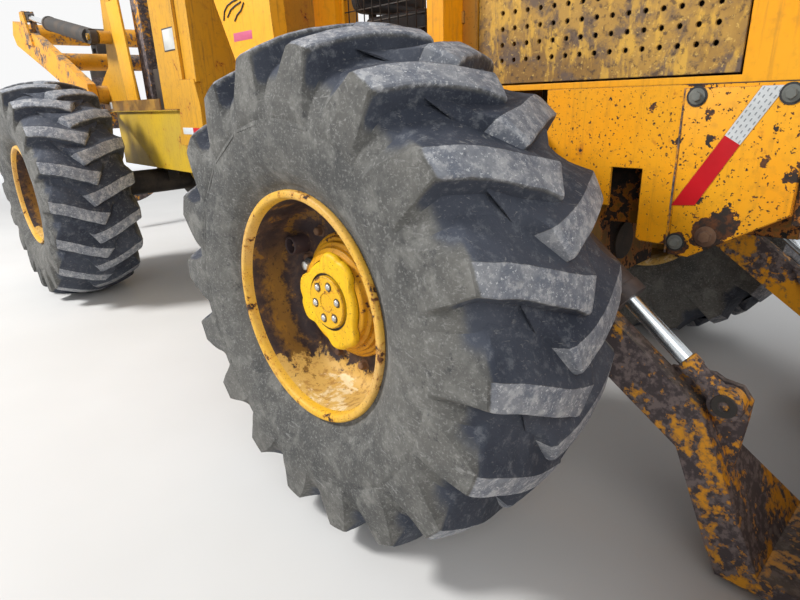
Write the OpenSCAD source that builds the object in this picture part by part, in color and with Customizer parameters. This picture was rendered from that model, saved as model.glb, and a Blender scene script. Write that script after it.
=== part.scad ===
// Articulated grapple skidder: front frame with engine and cab, rear frame with tower and boom.
// X points forward, Y to the machine's left, Z up; the origin is on the ground, mid length.

/* [Stance] */
// Front axle to rear axle
wheelbase = 3500; // [3300:10:3800]
// Front axle to the front of the blade
nose_reach = 1500; // [1460:10:1600]
// Front axle back to the articulation pin
pivot_back = 1750; // [1700:10:1800]
// Distance between the tyres' middle planes
track = 2212; // [2180:2:2300]

/* [Tyres] */
// Radius to the lug tips
tyre_r = 775; // [740:5:800]
// Width over the sidewalls
tyre_w = 587; // [560:1:600]
// Height of a lug
lug_h = 52; // [30:1:60]
// Lugs in one of the two rows
lug_count = 18; // [14:1:22]
// Thickness of a lug at its top
lug_t = 80; // [60:1:90]
// Fall of the tread from its middle to the shoulders
crown_fall = 60; // [30:1:70]

/* [Wheels] */
// Radius of the bead seat
rim_r = 330; // [320:1:335]
// Width over the rim flanges
rim_w = 508; // [480:1:520]
// Radius of the rim flange
flange_r = 355.6; // [350:0.1:365]
// Thickness of the rim barrel
rim_t = 12; // [8:1:16]
// Depth of the wheel disc behind the outer flange
dish = 198; // [160:1:230]
// Thickness of the wheel disc
disc_t = 20; // [12:1:26]
// Radius of the hub cover
cover_r = 83; // [70:1:95]
// Depth of the hub cover's face behind the outer flange
cover_depth = 90; // [70:1:120]

/* [Axles] */
// Radius of the axle tube
axle_tube_r = 95; // [80:1:105]
// Radius of the differential housing
banjo_r = 215; // [190:1:220]
// Radius of the final drive drum
drum_r = 190; // [160:1:210]
// Radius of the wheel spindle
spindle_r = 70; // [60:1:80]

/* [Front frame] */
// Outside width over the frame plates
frame_w = 660; // [600:10:700]
// Thickness of a frame plate
frame_t = 30; // [20:1:40]
// Height of the frame's top edge
frame_top = 1130; // [1110:5:1160]
// Height of the frame's lower edge over the front axle
frame_over_axle = 900; // [880:5:930]
// Height of the frame's lower edge at the pivot
frame_low = 590; // [560:5:640]
// Radius of the articulation pin
hinge_pin_r = 45; // [35:1:55]
// Radius of the articulation ears
hinge_ear_r = 130; // [110:1:150]
// Thickness of an articulation ear
hinge_ear_t = 50; // [40:1:60]

/* [Hood] */
// Width over the engine hood
hood_w = 900; // [880:5:940]
// Front axle to the front of the hood
hood_front = 1000; // [980:5:1020]
// Front axle back to the rear of the hood
hood_back = 150; // [140:5:160]
// Height of the hood's top at its rear
hood_top = 2040; // [2000:5:2100]
// Drop of the hood's top to the front
hood_fall = 60; // [20:5:90]
// Height of the hood's lower edge
hood_low = 1362; // [1350:1:1375]
// Thickness of the hood panels
hood_t = 8; // [5:1:10]
// Front axle to the front edge of the engine doors
door_front = 790; // [760:5:820]
// Front axle back to the rear edge of the engine doors
door_back = 88; // [70:1:100]
// Height of the engine doors' lower edge
door_low = 1387; // [1375:1:1400]
// Height of the engine doors' hinge
door_top = 1930; // [1900:5:1940]
// Gap round a door
door_gap = 6; // [5:1:8]
// Pitch of the door's holes
hole_pitch = 50.2; // [45:0.1:60]
// Radius of the door's holes
hole_r = 7.5; // [5:0.5:10]

/* [Cab] */
// Width over the cab's door posts
cab_w = 1120; // [1080:10:1200]
// Front axle back to the cab's front
cab_front = 160; // [155:5:190]
// Front axle back to the cab's rear posts
cab_back = 1000; // [960:10:1040]
// Height of the cab floor
cab_floor = 1240; // [1220:5:1260]
// Height of the roof's underside
cab_top = 2860; // [2800:10:2920]
// Width of a cab post
post_w = 80; // [60:5:100]
// Thickness of the cab's panels
cab_t = 8; // [6:1:12]
// Distance between the rear legs' outer faces
leg_span = 1600; // [1580:10:1640]

/* [Blade] */
// Width of the blade
blade_w = 2700; // [2600:10:2800]
// Height of the blade
blade_h = 800; // [700:10:850]
// Hollow radius of the blade
blade_r = 595; // [560:5:640]
// Thickness of the blade plate
blade_t = 25; // [16:1:32]
// Front axle to the blade arms' pivot
arm_pivot_x = 300; // [290:5:310]
// Height of the blade arms' pivot
arm_pivot_z = 850; // [840:5:870]
// Distance between the arms' outer faces
arm_span = 1400; // [1380:5:1420]
// Thickness of an arm
arm_t = 60; // [50:1:70]
// Radius of the pivot pins of arms and boom
arm_pin_r = 35; // [25:1:40]

/* [Cylinders] */
// Radius of the blade cylinders
blade_cyl_r = 50; // [42:1:55]
// Radius of the blade cylinders' rods
blade_rod_r = 23; // [18:1:24]
// Radius of the boom cylinders
boom_cyl_r = 55; // [45:1:60]
// Radius of the boom cylinders' rods
boom_rod_r = 24; // [20:1:26]
// Radius of the steering cylinders
steer_cyl_r = 42; // [36:1:48]
// Radius of the steering cylinders' rods
steer_rod_r = 20; // [16:1:24]
// Radius of the cylinders' eye pins
eye_pin_r = 22; // [16:1:25]

/* [Rear frame] */
// Outside width over the body's side plates
body_w = 1200; // [1160:10:1240]
// Height of the platform's top
deck_top = 1400; // [1380:5:1420]
// Height of the tower's top
tower_top = 2100; // [2050:10:2140]
// Rear axle forward to the tower's front face
tower_front = 1450; // [1430:5:1470]
// Rear axle back to the end of the frame
rear_end = 560; // [520:10:600]

/* [Boom and grapple] */
// Rear axle back to the boom's pivot
boom_pivot_back = 250; // [240:5:260]
// Height of the boom's pivot
boom_pivot_z = 1450; // [1430:5:1470]
// Rear axle back to the boom's tip pin
boom_tip_back = 2100; // [2050:5:2150]
// Height of the boom's tip pin
boom_tip_z = 2060; // [2030:5:2090]
// Distance between the boom arms' outer faces
boom_span = 1500; // [1480:5:1520]
// Thickness of a boom arm
boom_t = 60; // [50:1:70]
// Length of a grapple tong from its pin to its tip
tong_len = 980; // [900:10:1050]
// Half length of the grapple head along the machine
head_half = 150; // [140:5:160]

/* [Hidden] */

$fn = 96;
yellow = "goldenrod";
bright = "gold";
steel_dark = "dimgray";

// Gap of a seat or of a pin in its eye
fit = 0.3;
// Gap between pieces that move past each other
clear = 6;

front_x = (wheelbase + boom_tip_back + head_half - nose_reach) / 2;
rear_x = front_x - wheelbase;
pivot_x = front_x - pivot_back;
axle_z = tyre_r;
half_track = track / 2;
frame_y = frame_w / 2;

// Basic helpers: a plate from an outline in X and Z, both sides, a bar along Y
module side_plate(outline, y_low, y_high)
    translate([0, y_high, 0]) rotate([90, 0, 0]) linear_extrude(y_high - y_low) polygon(outline);

module level_plate(outline, z_low, z_high)
    translate([0, 0, z_low]) linear_extrude(z_high - z_low) polygon(outline);

module box(x_low, x_high, y_low, y_high, z_low, z_high)
    translate([x_low, y_low, z_low]) cube([x_high - x_low, y_high - y_low, z_high - z_low]);

module both_sides() {
    children();
    mirror([0, 1, 0]) children();
}

module y_bar(x, z, r, y_low, y_high)
    translate([x, y_high, z]) rotate([90, 0, 0]) cylinder(r = r, h = y_high - y_low);

module x_bar(y, z, r, x_low, x_high)
    translate([x_low, y, z]) rotate([0, 90, 0]) cylinder(r = r, h = x_high - x_low);

module z_bar(x, y, r, z_low, z_high)
    translate([x, y, z_low]) cylinder(r = r, h = z_high - z_low);

module at_front() translate([front_x, 0, 0]) children();
module at_rear() translate([rear_x, 0, 0]) children();
module at_pivot() translate([pivot_x, 0, 0]) children();

// Wheels, drawn with their own Z axis pointing outward from the tyre's middle plane
module at_wheel(x, side)
    translate([x, side * half_track, axle_z]) rotate([-90 * side, 0, 0]) children();

bead_y = rim_w / 2 - 18;
carcass_r = tyre_r - lug_h;

// Radius of the round tread at a distance from the middle plane
function crown(y) = tyre_r - crown_fall * pow(y / (tyre_w / 2 - 14), 2);

// Half of the tyre's section as radius and distance from the middle plane
tyre_half = [
    [rim_r + fit, bead_y - fit], [flange_r + 4, bead_y - fit], [flange_r + 30, bead_y + 28],
    [flange_r + 90, tyre_w / 2 - 6], [flange_r + 150, tyre_w / 2], [carcass_r - 160, tyre_w / 2 - 8],
    [crown(tyre_w / 2) - lug_h - 20, tyre_w / 2 - 28], [crown(tyre_w / 2 - 76) - lug_h, tyre_w / 2 - 76],
    [carcass_r, tyre_w / 2 - 200]];
// Half of the envelope that the lugs fill
lug_half = [
    [carcass_r - 190, tyre_w / 2 - 3], [crown(tyre_w / 2 - 14), tyre_w / 2 - 14],
    [crown(tyre_w / 2 - 90), tyre_w / 2 - 90], [crown(tyre_w / 2 - 170), tyre_w / 2 - 170], [tyre_r, 50]];

function mirrored(half) = concat(half, [for (i = [len(half) - 1:-1:0]) [half[i][0], -half[i][1]]]);

// Middle line of one lug in plan: distance from the middle plane and lag round the tyre
lug_line = [[tyre_w / 2 + 6, -2], [tyre_w / 2 - 134, 43], [40, 93], [-60, 127]];
lug_plan = concat(
    [for (p = lug_line) [p[0], p[1] + lug_t / 2]],
    [for (i = [len(lug_line) - 1:-1:0]) [lug_line[i][0], lug_line[i][1] - lug_t / 2]]);

// Both rows of lugs; their middle ends trail on the outer and the inner row alike
module lug_ring(side)
    for (row = [-1, 1], i = [0:lug_count - 1])
        rotate([0, 0, (i + (1 - row) / 4) * 360 / lug_count])
            translate([carcass_r - 210, 0, 0]) rotate([0, 90, 0])
                linear_extrude(lug_h + 214) polygon([for (p = lug_plan) [-row * p[0], side * p[1]]]);

module tyre(side) {
    color(steel_dark) union() {
        rotate_extrude() polygon(mirrored(tyre_half));
        intersection() {
            rotate_extrude() polygon(mirrored(lug_half));
            lug_ring(side);
        }
    }
}

disc_z = rim_w / 2 - dish;
cover_z = rim_w / 2 - cover_depth;
// Barrel, flanges and disc of the wheel as radius and distance outward
wheel_section = [
    [0, disc_z - disc_t], [rim_r - rim_t, disc_z - disc_t], [rim_r - rim_t, -rim_w / 2 + 22],
    [flange_r - 14, -rim_w / 2], [flange_r, -rim_w / 2 + 6], [flange_r, -bead_y],
    [rim_r, -bead_y], [rim_r, bead_y], [flange_r, bead_y], [flange_r, rim_w / 2 - 6],
    [flange_r - 14, rim_w / 2], [rim_r - rim_t, rim_w / 2 - 22], [rim_r - rim_t - 2, disc_z + 30],
    [rim_r - rim_t - 34, disc_z], [0, disc_z]];
hub_steps = [
    [0, disc_z], [200, disc_z], [200, disc_z + 26], [176, disc_z + 34], [168, disc_z + 58],
    [132, disc_z + 66], [128, cover_z - 14], [cover_r, cover_z - 12], [cover_r, cover_z], [0, cover_z]];
lobe_angles = [60, 180, 300];

module wheel() {
    color(bright) difference() {
        union() {
            rotate_extrude() polygon(wheel_section);
            rotate_extrude() polygon(hub_steps);
            for (a = lobe_angles)
                rotate([0, 0, a]) translate([128, 0, disc_z + 40]) cylinder(r = 40, h = cover_z - disc_z - 56);
        }
        translate([0, 0, disc_z - disc_t - 1]) cylinder(r = spindle_r + fit, h = 61);
    }
}

module tyre_front_right() at_wheel(front_x, -1) tyre(-1);
module tyre_front_left() at_wheel(front_x, 1) tyre(1);
module tyre_rear_right() at_wheel(rear_x, -1) tyre(-1);
module tyre_rear_left() at_wheel(rear_x, 1) tyre(1);
module wheel_front_right() at_wheel(front_x, -1) wheel();
module wheel_front_left() at_wheel(front_x, 1) wheel();
module wheel_rear_right() at_wheel(rear_x, -1) wheel();
module wheel_rear_left() at_wheel(rear_x, 1) wheel();

// Axles: differential housing, tubes, final drive drums and spindles
drum_end = half_track + disc_z - disc_t - clear;
drum_start = half_track - rim_w / 2 + 20;

module axle_half() {
    y_bar(0, axle_z, axle_tube_r, 0, drum_start + 10);
    y_bar(0, axle_z, drum_r, drum_start, drum_end);
    y_bar(0, axle_z, drum_r - 40, drum_start - 60, drum_start + 1);
    y_bar(0, axle_z, spindle_r, drum_end - 1, drum_end + clear + 50);
}

module banjo() {
    intersection() {
        translate([0, 0, axle_z]) sphere(r = banjo_r);
        box(-banjo_r, banjo_r, -170, 170, 0, 2 * axle_z);
    }
}

trunnion_r = 75;
trunnion_x = 270;

module front_axle() {
    color(steel_dark) at_front() {
        both_sides() axle_half();
        banjo();
        x_bar(0, axle_z, trunnion_r, -trunnion_x - 50, trunnion_x + 50);
    }
}

// Front frame: side plates, trunnion plates, cross members, pivot ears and brackets
front_gap = 640;
rear_gap = 330;
upper_ear_z = frame_top - 90;
lower_ear_z = frame_low + 20;
front_outline = [
    [hood_front - 30, frame_over_axle + 40], [hood_front - 30, frame_top], [-pivot_back + front_gap, frame_top],
    [-pivot_back + front_gap, frame_low], [-620, frame_low], [-380, frame_over_axle]];

// A tapered ear with a round nose at the pivot, towards a cross plate at reach
module ear_plate(z_low, reach, t)
    translate([0, 0, z_low]) linear_extrude(t) union() {
        circle(r = hinge_ear_r);
        polygon([[0, hinge_ear_r], [reach, frame_y - 1], [reach, 1 - frame_y], [0, -hinge_ear_r]]);
    }

arm_y = arm_span / 2 - arm_t;
arm_face = arm_span / 2;
cyl_anchor_x = 120;
cyl_anchor_z = 1205;
inner_y = frame_y - frame_t;
// Middle places of the lugs that carry the side panels
panel_lugs = [330, 730, 930];
// Length of the bosses that keep arms and cylinders clear of the beams
boss_out = 34;
eye_r = eye_pin_r + 24;
// Tow lug at the nose and hitch lug at the rear, each with an upright hole
tow_hole_r = 25;
hitch_hole_r = 30;
lug_plate_t = 40;

module pin_lug(x_root, x_hole, r, z_low, t)
    difference() {
        union() {
            box(min(x_root, x_hole), max(x_root, x_hole), -r - 45, r + 45, z_low, z_low + t);
            z_bar(x_hole, 0, r + 45, z_low, z_low + t);
        }
        z_bar(x_hole, 0, r, z_low - 1, z_low + t + 1);
    }

module front_frame() {
    color(yellow) union() {
        at_front() {
            both_sides() side_plate(front_outline, inner_y, frame_y);
            for (x = [-trunnion_x - 40, trunnion_x])
                difference() {
                    box(x, x + 40, -inner_y - 1, inner_y + 1, axle_z - 140, frame_top - 40);
                    x_bar(0, axle_z, trunnion_r + fit, x - 1, x + 41);
                }
            box(700, 760, -inner_y - 1, inner_y + 1, frame_top - 140, frame_top - 40);
            box(-900, -330, -inner_y - 1, inner_y + 1, frame_low, frame_low + 16);
            box(hood_front - 31, hood_front + 20, -hood_y + hood_t, hood_y - hood_t,
                frame_top - 130, frame_top);
            pin_lug(hood_front + 19, hood_front + 85, tow_hole_r, frame_top - 90, lug_plate_t);
        }
        at_pivot() {
            difference() {
                union() {
                    ear_plate(upper_ear_z, front_gap + 15, hinge_ear_t);
                    ear_plate(lower_ear_z, front_gap + 15, hinge_ear_t);
                }
                z_bar(0, 0, hinge_pin_r + fit, 0, 2000);
            }
            box(front_gap, front_gap + 30, -inner_y - 1, inner_y + 1, frame_low, frame_top);
        }
    }
}

// Brackets seated on the outer faces of the frame plates, each a solid of its own
module frame_brackets() {
    color(yellow) at_front() both_sides() {
        // pivot beam, boss and pin of a blade arm
        union() {
            box(arm_pivot_x - 90, arm_pivot_x + 90, frame_y, arm_y - boss_out,
                arm_pivot_z - 60, frame_over_axle + 90);
            y_bar(arm_pivot_x, arm_pivot_z, 60, arm_y - boss_out - 1, arm_y - clear);
            y_bar(arm_pivot_x, arm_pivot_z, arm_pin_r, arm_y - boss_out - 1, arm_face + 14);
        }
        // anchor, boss and pin of a blade cylinder, on a foot that comes down over the frame plate
        union() {
            box(cyl_anchor_x - 60, cyl_anchor_x + 60, frame_y, arm_y - boss_out,
                cyl_anchor_z - 140, cyl_anchor_z + 50);
            y_bar(cyl_anchor_x, cyl_anchor_z, eye_r - 2, arm_y - boss_out - 1, arm_y - 1);
            y_bar(cyl_anchor_x, cyl_anchor_z, eye_pin_r, arm_y - boss_out - 1, arm_face + 14);
        }
        for (x = panel_lugs)
            box(x - 30, x + 30, frame_y, hood_y - hood_t, frame_top - 70, frame_top - 10);
        // outrigger under a rear leg of the canopy
        box(-1050, -860, frame_y, leg_span / 2, frame_top - 60, frame_top);
    }
    color(yellow) at_pivot() for (s = [-1, 1]) steer_anchor(s);
}

// Steering cylinders lie beside the pivot; anchors are measured from the pivot
steer_z = 850;
steer_base = [900, 460];
steer_eye = [-300, 420];
steer_ear_t = 30;
// Lower faces of the two ears round a steering eye
steer_ears = [steer_z - 27 - clear - steer_ear_t, steer_z + 27 + clear];
steer_len = norm([steer_base[0] - steer_eye[0], steer_base[1] - steer_eye[1]]);
steer_angle = atan2(steer_eye[1] - steer_base[1], steer_eye[0] - steer_base[0]);

module steer_anchor(side) union() {
    for (z = steer_ears)
        side_ear([steer_base[0], side * steer_base[1]], side * frame_y, z, steer_ear_t);
    z_bar(steer_base[0], side * steer_base[1], eye_pin_r, steer_ears[0], steer_ears[1] + steer_ear_t);
}

ear_r = 56;
// A flat ear from a frame plate out to a point
module side_ear(at, y_root, z_low, t)
    translate([0, 0, z_low]) linear_extrude(t) union() {
        translate(at) circle(r = ear_r);
        polygon([[at[0] - 80, y_root], [at[0] + 80, y_root], [at[0] + ear_r, at[1]], [at[0] - ear_r, at[1]]]);
    }

// A cylinder's barrel from the origin along X, with its eye at the origin on a flat neck
module barrel(r, rod_r, eye_w, neck, body_len)
    difference() {
        union() {
            translate([0, 0, -eye_w / 2]) cylinder(r = eye_r, h = eye_w);
            rotate([0, 90, 0]) cylinder(r = r, h = body_len);
            translate([body_len - 40, 0, 0]) rotate([0, 90, 0]) cylinder(r = r + 4, h = 40);
        }
        translate([0, 0, -r - 10]) cylinder(r = eye_pin_r + fit, h = 2 * r + 20);
        translate([neck + 10, 0, 0]) rotate([0, 90, 0]) cylinder(r = rod_r + fit, h = body_len);
        for (s = [-1, 1])
            translate([0, 0, s * (eye_w / 2 + r)]) cube([2 * neck, 4 * r, 2 * r], center = true);
    }

// A rod that ends in a head of that length and an eye at full_len
module rod(rod_r, eye_w, start, full_len, head)
    union() {
        translate([start, 0, 0]) rotate([0, 90, 0]) cylinder(r = rod_r, h = full_len - start);
        translate([full_len, 0, -eye_w / 2]) cylinder(r = eye_r, h = eye_w);
        translate([full_len - head, -eye_r + 14, -eye_w / 2]) cube([head, 2 * eye_r - 28, eye_w]);
    }

steer_eye_w = 54;
neck_len = 54;
// Length of a steering barrel's flat neck, long enough to pass the ears as it swings
steer_neck = 78;
// Start of a steering rod inside its barrel, clear of the neck with the rod pushed in
steer_rod_start = 392;
module at_steer(side)
    at_pivot() translate([steer_base[0], side * steer_base[1], steer_z])
        rotate([0, 0, side * steer_angle]) children();

module steer_barrel(side)
    color(steel_dark) at_steer(side) barrel(steer_cyl_r, steer_rod_r, steer_eye_w, steer_neck, 760);
module steer_rod(side)
    color("silver") at_steer(side) rod(steer_rod_r, steer_eye_w, steer_rod_start, steer_len, 70);
module steer_barrel_right() steer_barrel(-1);
module steer_barrel_left() steer_barrel(1);
module steer_rod_right() steer_rod(-1);
module steer_rod_left() steer_rod(1);

// Engine: one plain block on the frame's cross members
engine_x = [60, 830];
engine_y = 250;
engine_top = hood_top - 280;

module engine_block() {
    color(steel_dark) at_front()
        box(engine_x[0], engine_x[1], -engine_y, engine_y, frame_top - 40, engine_top);
}

// Hood: top, side frames round the doors, rear wall and front frame
hood_y = hood_w / 2;
door_x0 = -door_back - door_gap;
door_x1 = door_front + door_gap;
hood_side = [
    [-hood_back, hood_low], [hood_front, hood_low], [hood_front, hood_top - hood_fall - 60],
    [hood_front - 50, hood_top - hood_fall], [-hood_back, hood_top]];
hood_inner = [
    [-hood_back + hood_t, hood_low - 1], [hood_front + 1, hood_low - 1],
    [hood_front + 1, hood_top - hood_fall - 70], [hood_front - 56, hood_top - hood_fall - hood_t],
    [-hood_back + hood_t, hood_top - hood_t]];

door_knuckle_y = hood_y + 10;
door_knuckle_z = door_top + door_gap / 2;
knuckle_r = 8;
knuckle_w = 60;
// Start of each hinge along the door; the door's half comes first, the hood's half follows
hinge_starts = [door_x0 + 60, door_x1 - 60 - 2 * knuckle_w];

module knuckles(offset_x, leaf) {
    for (x = hinge_starts) {
        x_bar(door_knuckle_y, door_knuckle_z, knuckle_r, x + offset_x, x + offset_x + knuckle_w - fit);
        box(x + offset_x, x + offset_x + knuckle_w - fit, hood_y - 1, door_knuckle_y,
            min(door_knuckle_z, door_knuckle_z + leaf) + (leaf > 0 ? door_gap / 2 : 0),
            max(door_knuckle_z, door_knuckle_z + leaf) - (leaf < 0 ? door_gap / 2 : 0));
    }
}

module hood() {
    color(yellow) at_front() union() {
        difference() {
            side_plate(hood_side, -hood_y, hood_y);
            side_plate(hood_inner, -hood_y + hood_t, hood_y - hood_t);
            box(door_x0, door_x1, -hood_y - 1, hood_y + 1, door_low - door_gap, door_top + door_gap);
        }
        both_sides() knuckles(knuckle_w, 34);
    }
}

// First hole of a door, from its rear lower corner
hole_start = [105, 76];

module engine_door() {
    columns = floor((door_front + door_back - hole_start[0]) / hole_pitch);
    rows = floor((door_top - door_low - hole_start[1] - 14) / hole_pitch);
    at_front() union() {
        difference() {
            box(-door_back, door_front, hood_y - hood_t, hood_y, door_low, door_top);
            for (i = [0:columns - 1], j = [0:rows - 1])
                y_bar(-door_back + hole_start[0] + i * hole_pitch, door_low + hole_start[1] + j * hole_pitch,
                    hole_r, hood_y - hood_t - 1, hood_y + 1);
        }
        knuckles(0, -34);
    }
}

module engine_door_right() color(yellow) mirror([0, 1, 0]) engine_door();
module engine_door_left() color(yellow) engine_door();

// Side panels below the hood, with the cut-out and the front corner plate
panel_back = 210;
panel_outline = [
    [panel_back, 1000], [panel_back, hood_low], [hood_front - 32, hood_low], [hood_front - 32, 1026],
    [725, 873], [668, 873], [660, 900], [575, 900], [560, 910], [560, 1123], [460, 1123], [460, 1000]];

module side_panels() {
    color(yellow) at_front() both_sides()
        side_plate(panel_outline, hood_y - hood_t, hood_y);
}

// Grille: an outer frame with upright slats in front of the radiator block
grille_top = hood_top - hood_fall - 90;
grille_y = hood_y - hood_t;
slat_step = 68;

module grille() {
    color(steel_dark) at_front() {
        difference() {
            box(hood_front - 24, hood_front + 20, -grille_y, grille_y, frame_top, grille_top);
            box(hood_front - 25, hood_front + 21, -grille_y + 40, grille_y - 40,
                frame_top + 40, grille_top - 40);
        }
        for (y = [-grille_y + 76:slat_step:grille_y - 76])
            box(hood_front - 10, hood_front + 8, y, y + 18, frame_top + 39, grille_top - 39);
        box(hood_front - 110, hood_front - 34, -inner_y - 60, inner_y + 60, frame_top, grille_top);
    }
}

// Exhaust stack and air cleaner on the hood
module on_hood() difference() {
    children();
    side_plate(hood_side, -hood_y, hood_y);
}

module exhaust() {
    color(steel_dark) at_front() on_hood() translate([300, 180, 0]) {
        z_bar(0, 0, 85, hood_top + 10, hood_top + 520);
        z_bar(0, 0, 40, hood_top - 60, hood_top + 860);
    }
}

module air_cleaner() {
    color(steel_dark) at_front() on_hood() translate([40, -180, 0]) {
        z_bar(0, 0, 60, hood_top - 60, hood_top + 200);
        z_bar(0, 0, 120, hood_top + 199, hood_top + 360);
    }
}

// Cab: floor, posts and low walls, with open sides
cab_y = cab_w / 2;
sill_top = 1500;
mid_post = [-cab_back + 70, -cab_back + 220];

module cab_frame() {
    color(yellow) at_front() union() {
        box(-cab_back - post_w, -cab_front, -cab_y, cab_y, cab_floor - cab_t, cab_floor);
        both_sides() {
            box(-cab_front - post_w, -cab_front, cab_y - post_w, cab_y, cab_floor - 1, cab_top);
            box(mid_post[0], mid_post[1], cab_y - post_w, cab_y, cab_floor - 1, cab_top);
            box(mid_post[0], -cab_front, cab_y - cab_t, cab_y, cab_floor - 1, sill_top);
            box(-cab_back, -cab_front - 40, inner_y, frame_y, frame_top, cab_floor);
        }
        box(-cab_front - cab_t, -cab_front, -cab_y + 1, cab_y - 1, cab_floor - 1, hood_top + 60);
    }
}

lamp_r = 62;

module cab_roof() {
    color(yellow) at_front() union() {
        box(-1480, -80, -leg_span / 2, leg_span / 2, cab_top, cab_top + 90);
        // two work lamps hang under the front edge
        for (y = [-leg_span / 2 + 160, leg_span / 2 - 160]) {
            x_bar(y, cab_top - lamp_r - 16, lamp_r, -150, -86);
            box(-132, -104, y - 14, y + 14, cab_top - lamp_r, cab_top + 1);
        }
    }
}

// Guard meshes between the posts: a rim with bars
guard_step = (cab_top - sill_top) / 4;
bar_step = 54;
module cab_guards() {
    x0 = mid_post[1];
    x1 = -cab_front - post_w;
    color(yellow) at_front() both_sides() union() {
        difference() {
            box(x0, x1, cab_y - 40, cab_y - 30, sill_top, cab_top);
            box(x0 + 20, x1 - 20, cab_y - 41, cab_y - 29, sill_top + 20, cab_top - 20);
        }
        for (x = [x0 + bar_step:bar_step:x1 - bar_step / 2])
            box(x - 3, x + 3, cab_y - 38, cab_y - 32, sill_top + 19, cab_top - 19);
        for (z = [sill_top + guard_step:guard_step:cab_top - guard_step / 2])
            box(x0 + 19, x1 - 19, cab_y - 33, cab_y - 31, z - 3, z + 3);
    }
}

module rear_legs() {
    color(yellow) at_front() both_sides()
        side_plate([[-860, frame_top], [-1050, frame_top], [-1250, frame_top + 430], [-1370, frame_top + 660],
            [-1450, frame_top + 820], [-1450, cab_top], [-900, cab_top], [-900, frame_top + 570]],
            leg_span / 2 - 70, leg_span / 2);
}

// Seat: rear edge of the cushion, half width and height of the pedestal's top
seat_back = cab_back;
seat_y = 240;
seat_base = cab_floor + 380;

module seat() {
    color("black") at_front() {
        box(-seat_back, -seat_back + 440, -seat_y, seat_y, seat_base, seat_base + 120);
        box(-seat_back - 90, -seat_back + 20, -seat_y, seat_y, seat_base + 119, seat_base + 680);
        box(-seat_back + 100, -seat_back + 350, -seat_y + 90, seat_y - 90, cab_floor, seat_base);
    }
}

module console() {
    color(steel_dark) at_front() {
        box(-330, -200, -300, 300, cab_floor, 2000);
        translate([-350, 0, 1960]) rotate([0, -55, 0]) difference() {
            cylinder(r = 200, h = 30);
            translate([0, 0, -1]) cylinder(r = 170, h = 32);
        }
    }
}

// Blade with its two arms
blade_center_x = nose_reach + sqrt(blade_r * blade_r - blade_h * blade_h / 4);
ground_gap = 12;
// Top of an arm's sloping front plate, its foot, and how far the plate flares inward there
elbow = [920, 490];
foot = [1110, 86];
flare_y = 264;
arm_outline = [
    [arm_pivot_x - 95, arm_pivot_z - 60], [arm_pivot_x - 60, arm_pivot_z + 80],
    [arm_pivot_x + 50, arm_pivot_z + 60], [672, 690], [898, 526], elbow, foot,
    [1240, foot[1]], [nose_reach - 170, 420], [nose_reach - 36, 36],
    [1010, 30], [968, 115], [855, 387], [685, 500], [arm_pivot_x + 20, arm_pivot_z - 100]];
flare_plan = [[1075, flare_y], [nose_reach - 36, flare_y], [nose_reach - 36, arm_span / 2], [1040, arm_span / 2],
    [1040, arm_span / 2 - arm_t]];
flare_len = norm([foot[0] - elbow[0], foot[1] - elbow[1]]);
flare_tilt = atan2(elbow[1] - foot[1], foot[0] - elbow[0]);
arm_ear = [[790, 600], [905, 616], [930, 604], [978, 600], [1006, 565], [1004, 510], [990, 340], [900, 400]];
arm_ear_t = 18;
rod_eye_x = 955;
rod_eye_z = 556;

module blade() {
    color(yellow) at_front() difference() {
        union() {
            intersection() {
                y_bar(blade_center_x, ground_gap + blade_h / 2, blade_r + blade_t, -blade_w / 2, blade_w / 2);
                box(1000, nose_reach, -blade_w / 2, blade_w / 2, ground_gap, ground_gap + blade_h);
            }
            both_sides() {
                difference() {
                    side_plate(arm_outline, arm_y, arm_face);
                    y_bar(rod_eye_x, rod_eye_z, eye_r + clear + 6, arm_y - 1, arm_face + 1);
                }
                // sloping front plate that flares inward, and the flat foot it stands on
                translate([elbow[0], 0, elbow[1]]) rotate([0, flare_tilt, 0]) translate([0, 0, -blade_t])
                    linear_extrude(blade_t)
                        polygon([[0, arm_face], [0, arm_y], [flare_len, flare_y], [flare_len, arm_face]]);
                level_plate(flare_plan, 36, foot[1]);
                side_plate(arm_ear, arm_y - arm_ear_t + 1, arm_y + 1);
            }
        }
        y_bar(blade_center_x, ground_gap + blade_h / 2, blade_r, -blade_w / 2 - 1, blade_w / 2 + 1);
        both_sides() y_bar(arm_pivot_x, arm_pivot_z, arm_pin_r + fit, arm_y - 1, arm_face + 1);
    }
}

blade_cyl_len = norm([rod_eye_x - cyl_anchor_x, rod_eye_z - cyl_anchor_z]);
blade_cyl_tilt = atan2(cyl_anchor_z - rod_eye_z, rod_eye_x - cyl_anchor_x);

module at_blade_cylinder()
    at_front() translate([cyl_anchor_x, arm_face - arm_t / 2, cyl_anchor_z])
        rotate([0, blade_cyl_tilt, 0]) rotate([90, 0, 0]) children();

module blade_barrels() {
    color(steel_dark) both_sides() at_blade_cylinder() barrel(blade_cyl_r, blade_rod_r, 50, neck_len, 690);
}

module blade_rods() {
    color("silver") both_sides() at_blade_cylinder()
        rod(blade_rod_r, 2 * blade_rod_r + 4, 200, blade_cyl_len, 150);
}

// Rear frame: rails, side plates, deck channels and the pivot yoke
body_y = body_w / 2;
rail_low = 890;
deck_low = deck_top - 70;

yoke_t = 30;

// Two leaves of the yoke round one ear of the front frame
module yoke(ear_z)
    for (z = [ear_z - clear - yoke_t, ear_z + hinge_ear_t + clear])
        ear_plate(z, -rear_gap - 15, yoke_t);

frame_nose = wheelbase - pivot_back - rear_gap;
saddle = 360;
saddle_y = 520;
// Start of the deck's lip, in front of the boom's pivot boss
lip_start = -boom_pivot_back + 80;
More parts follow.
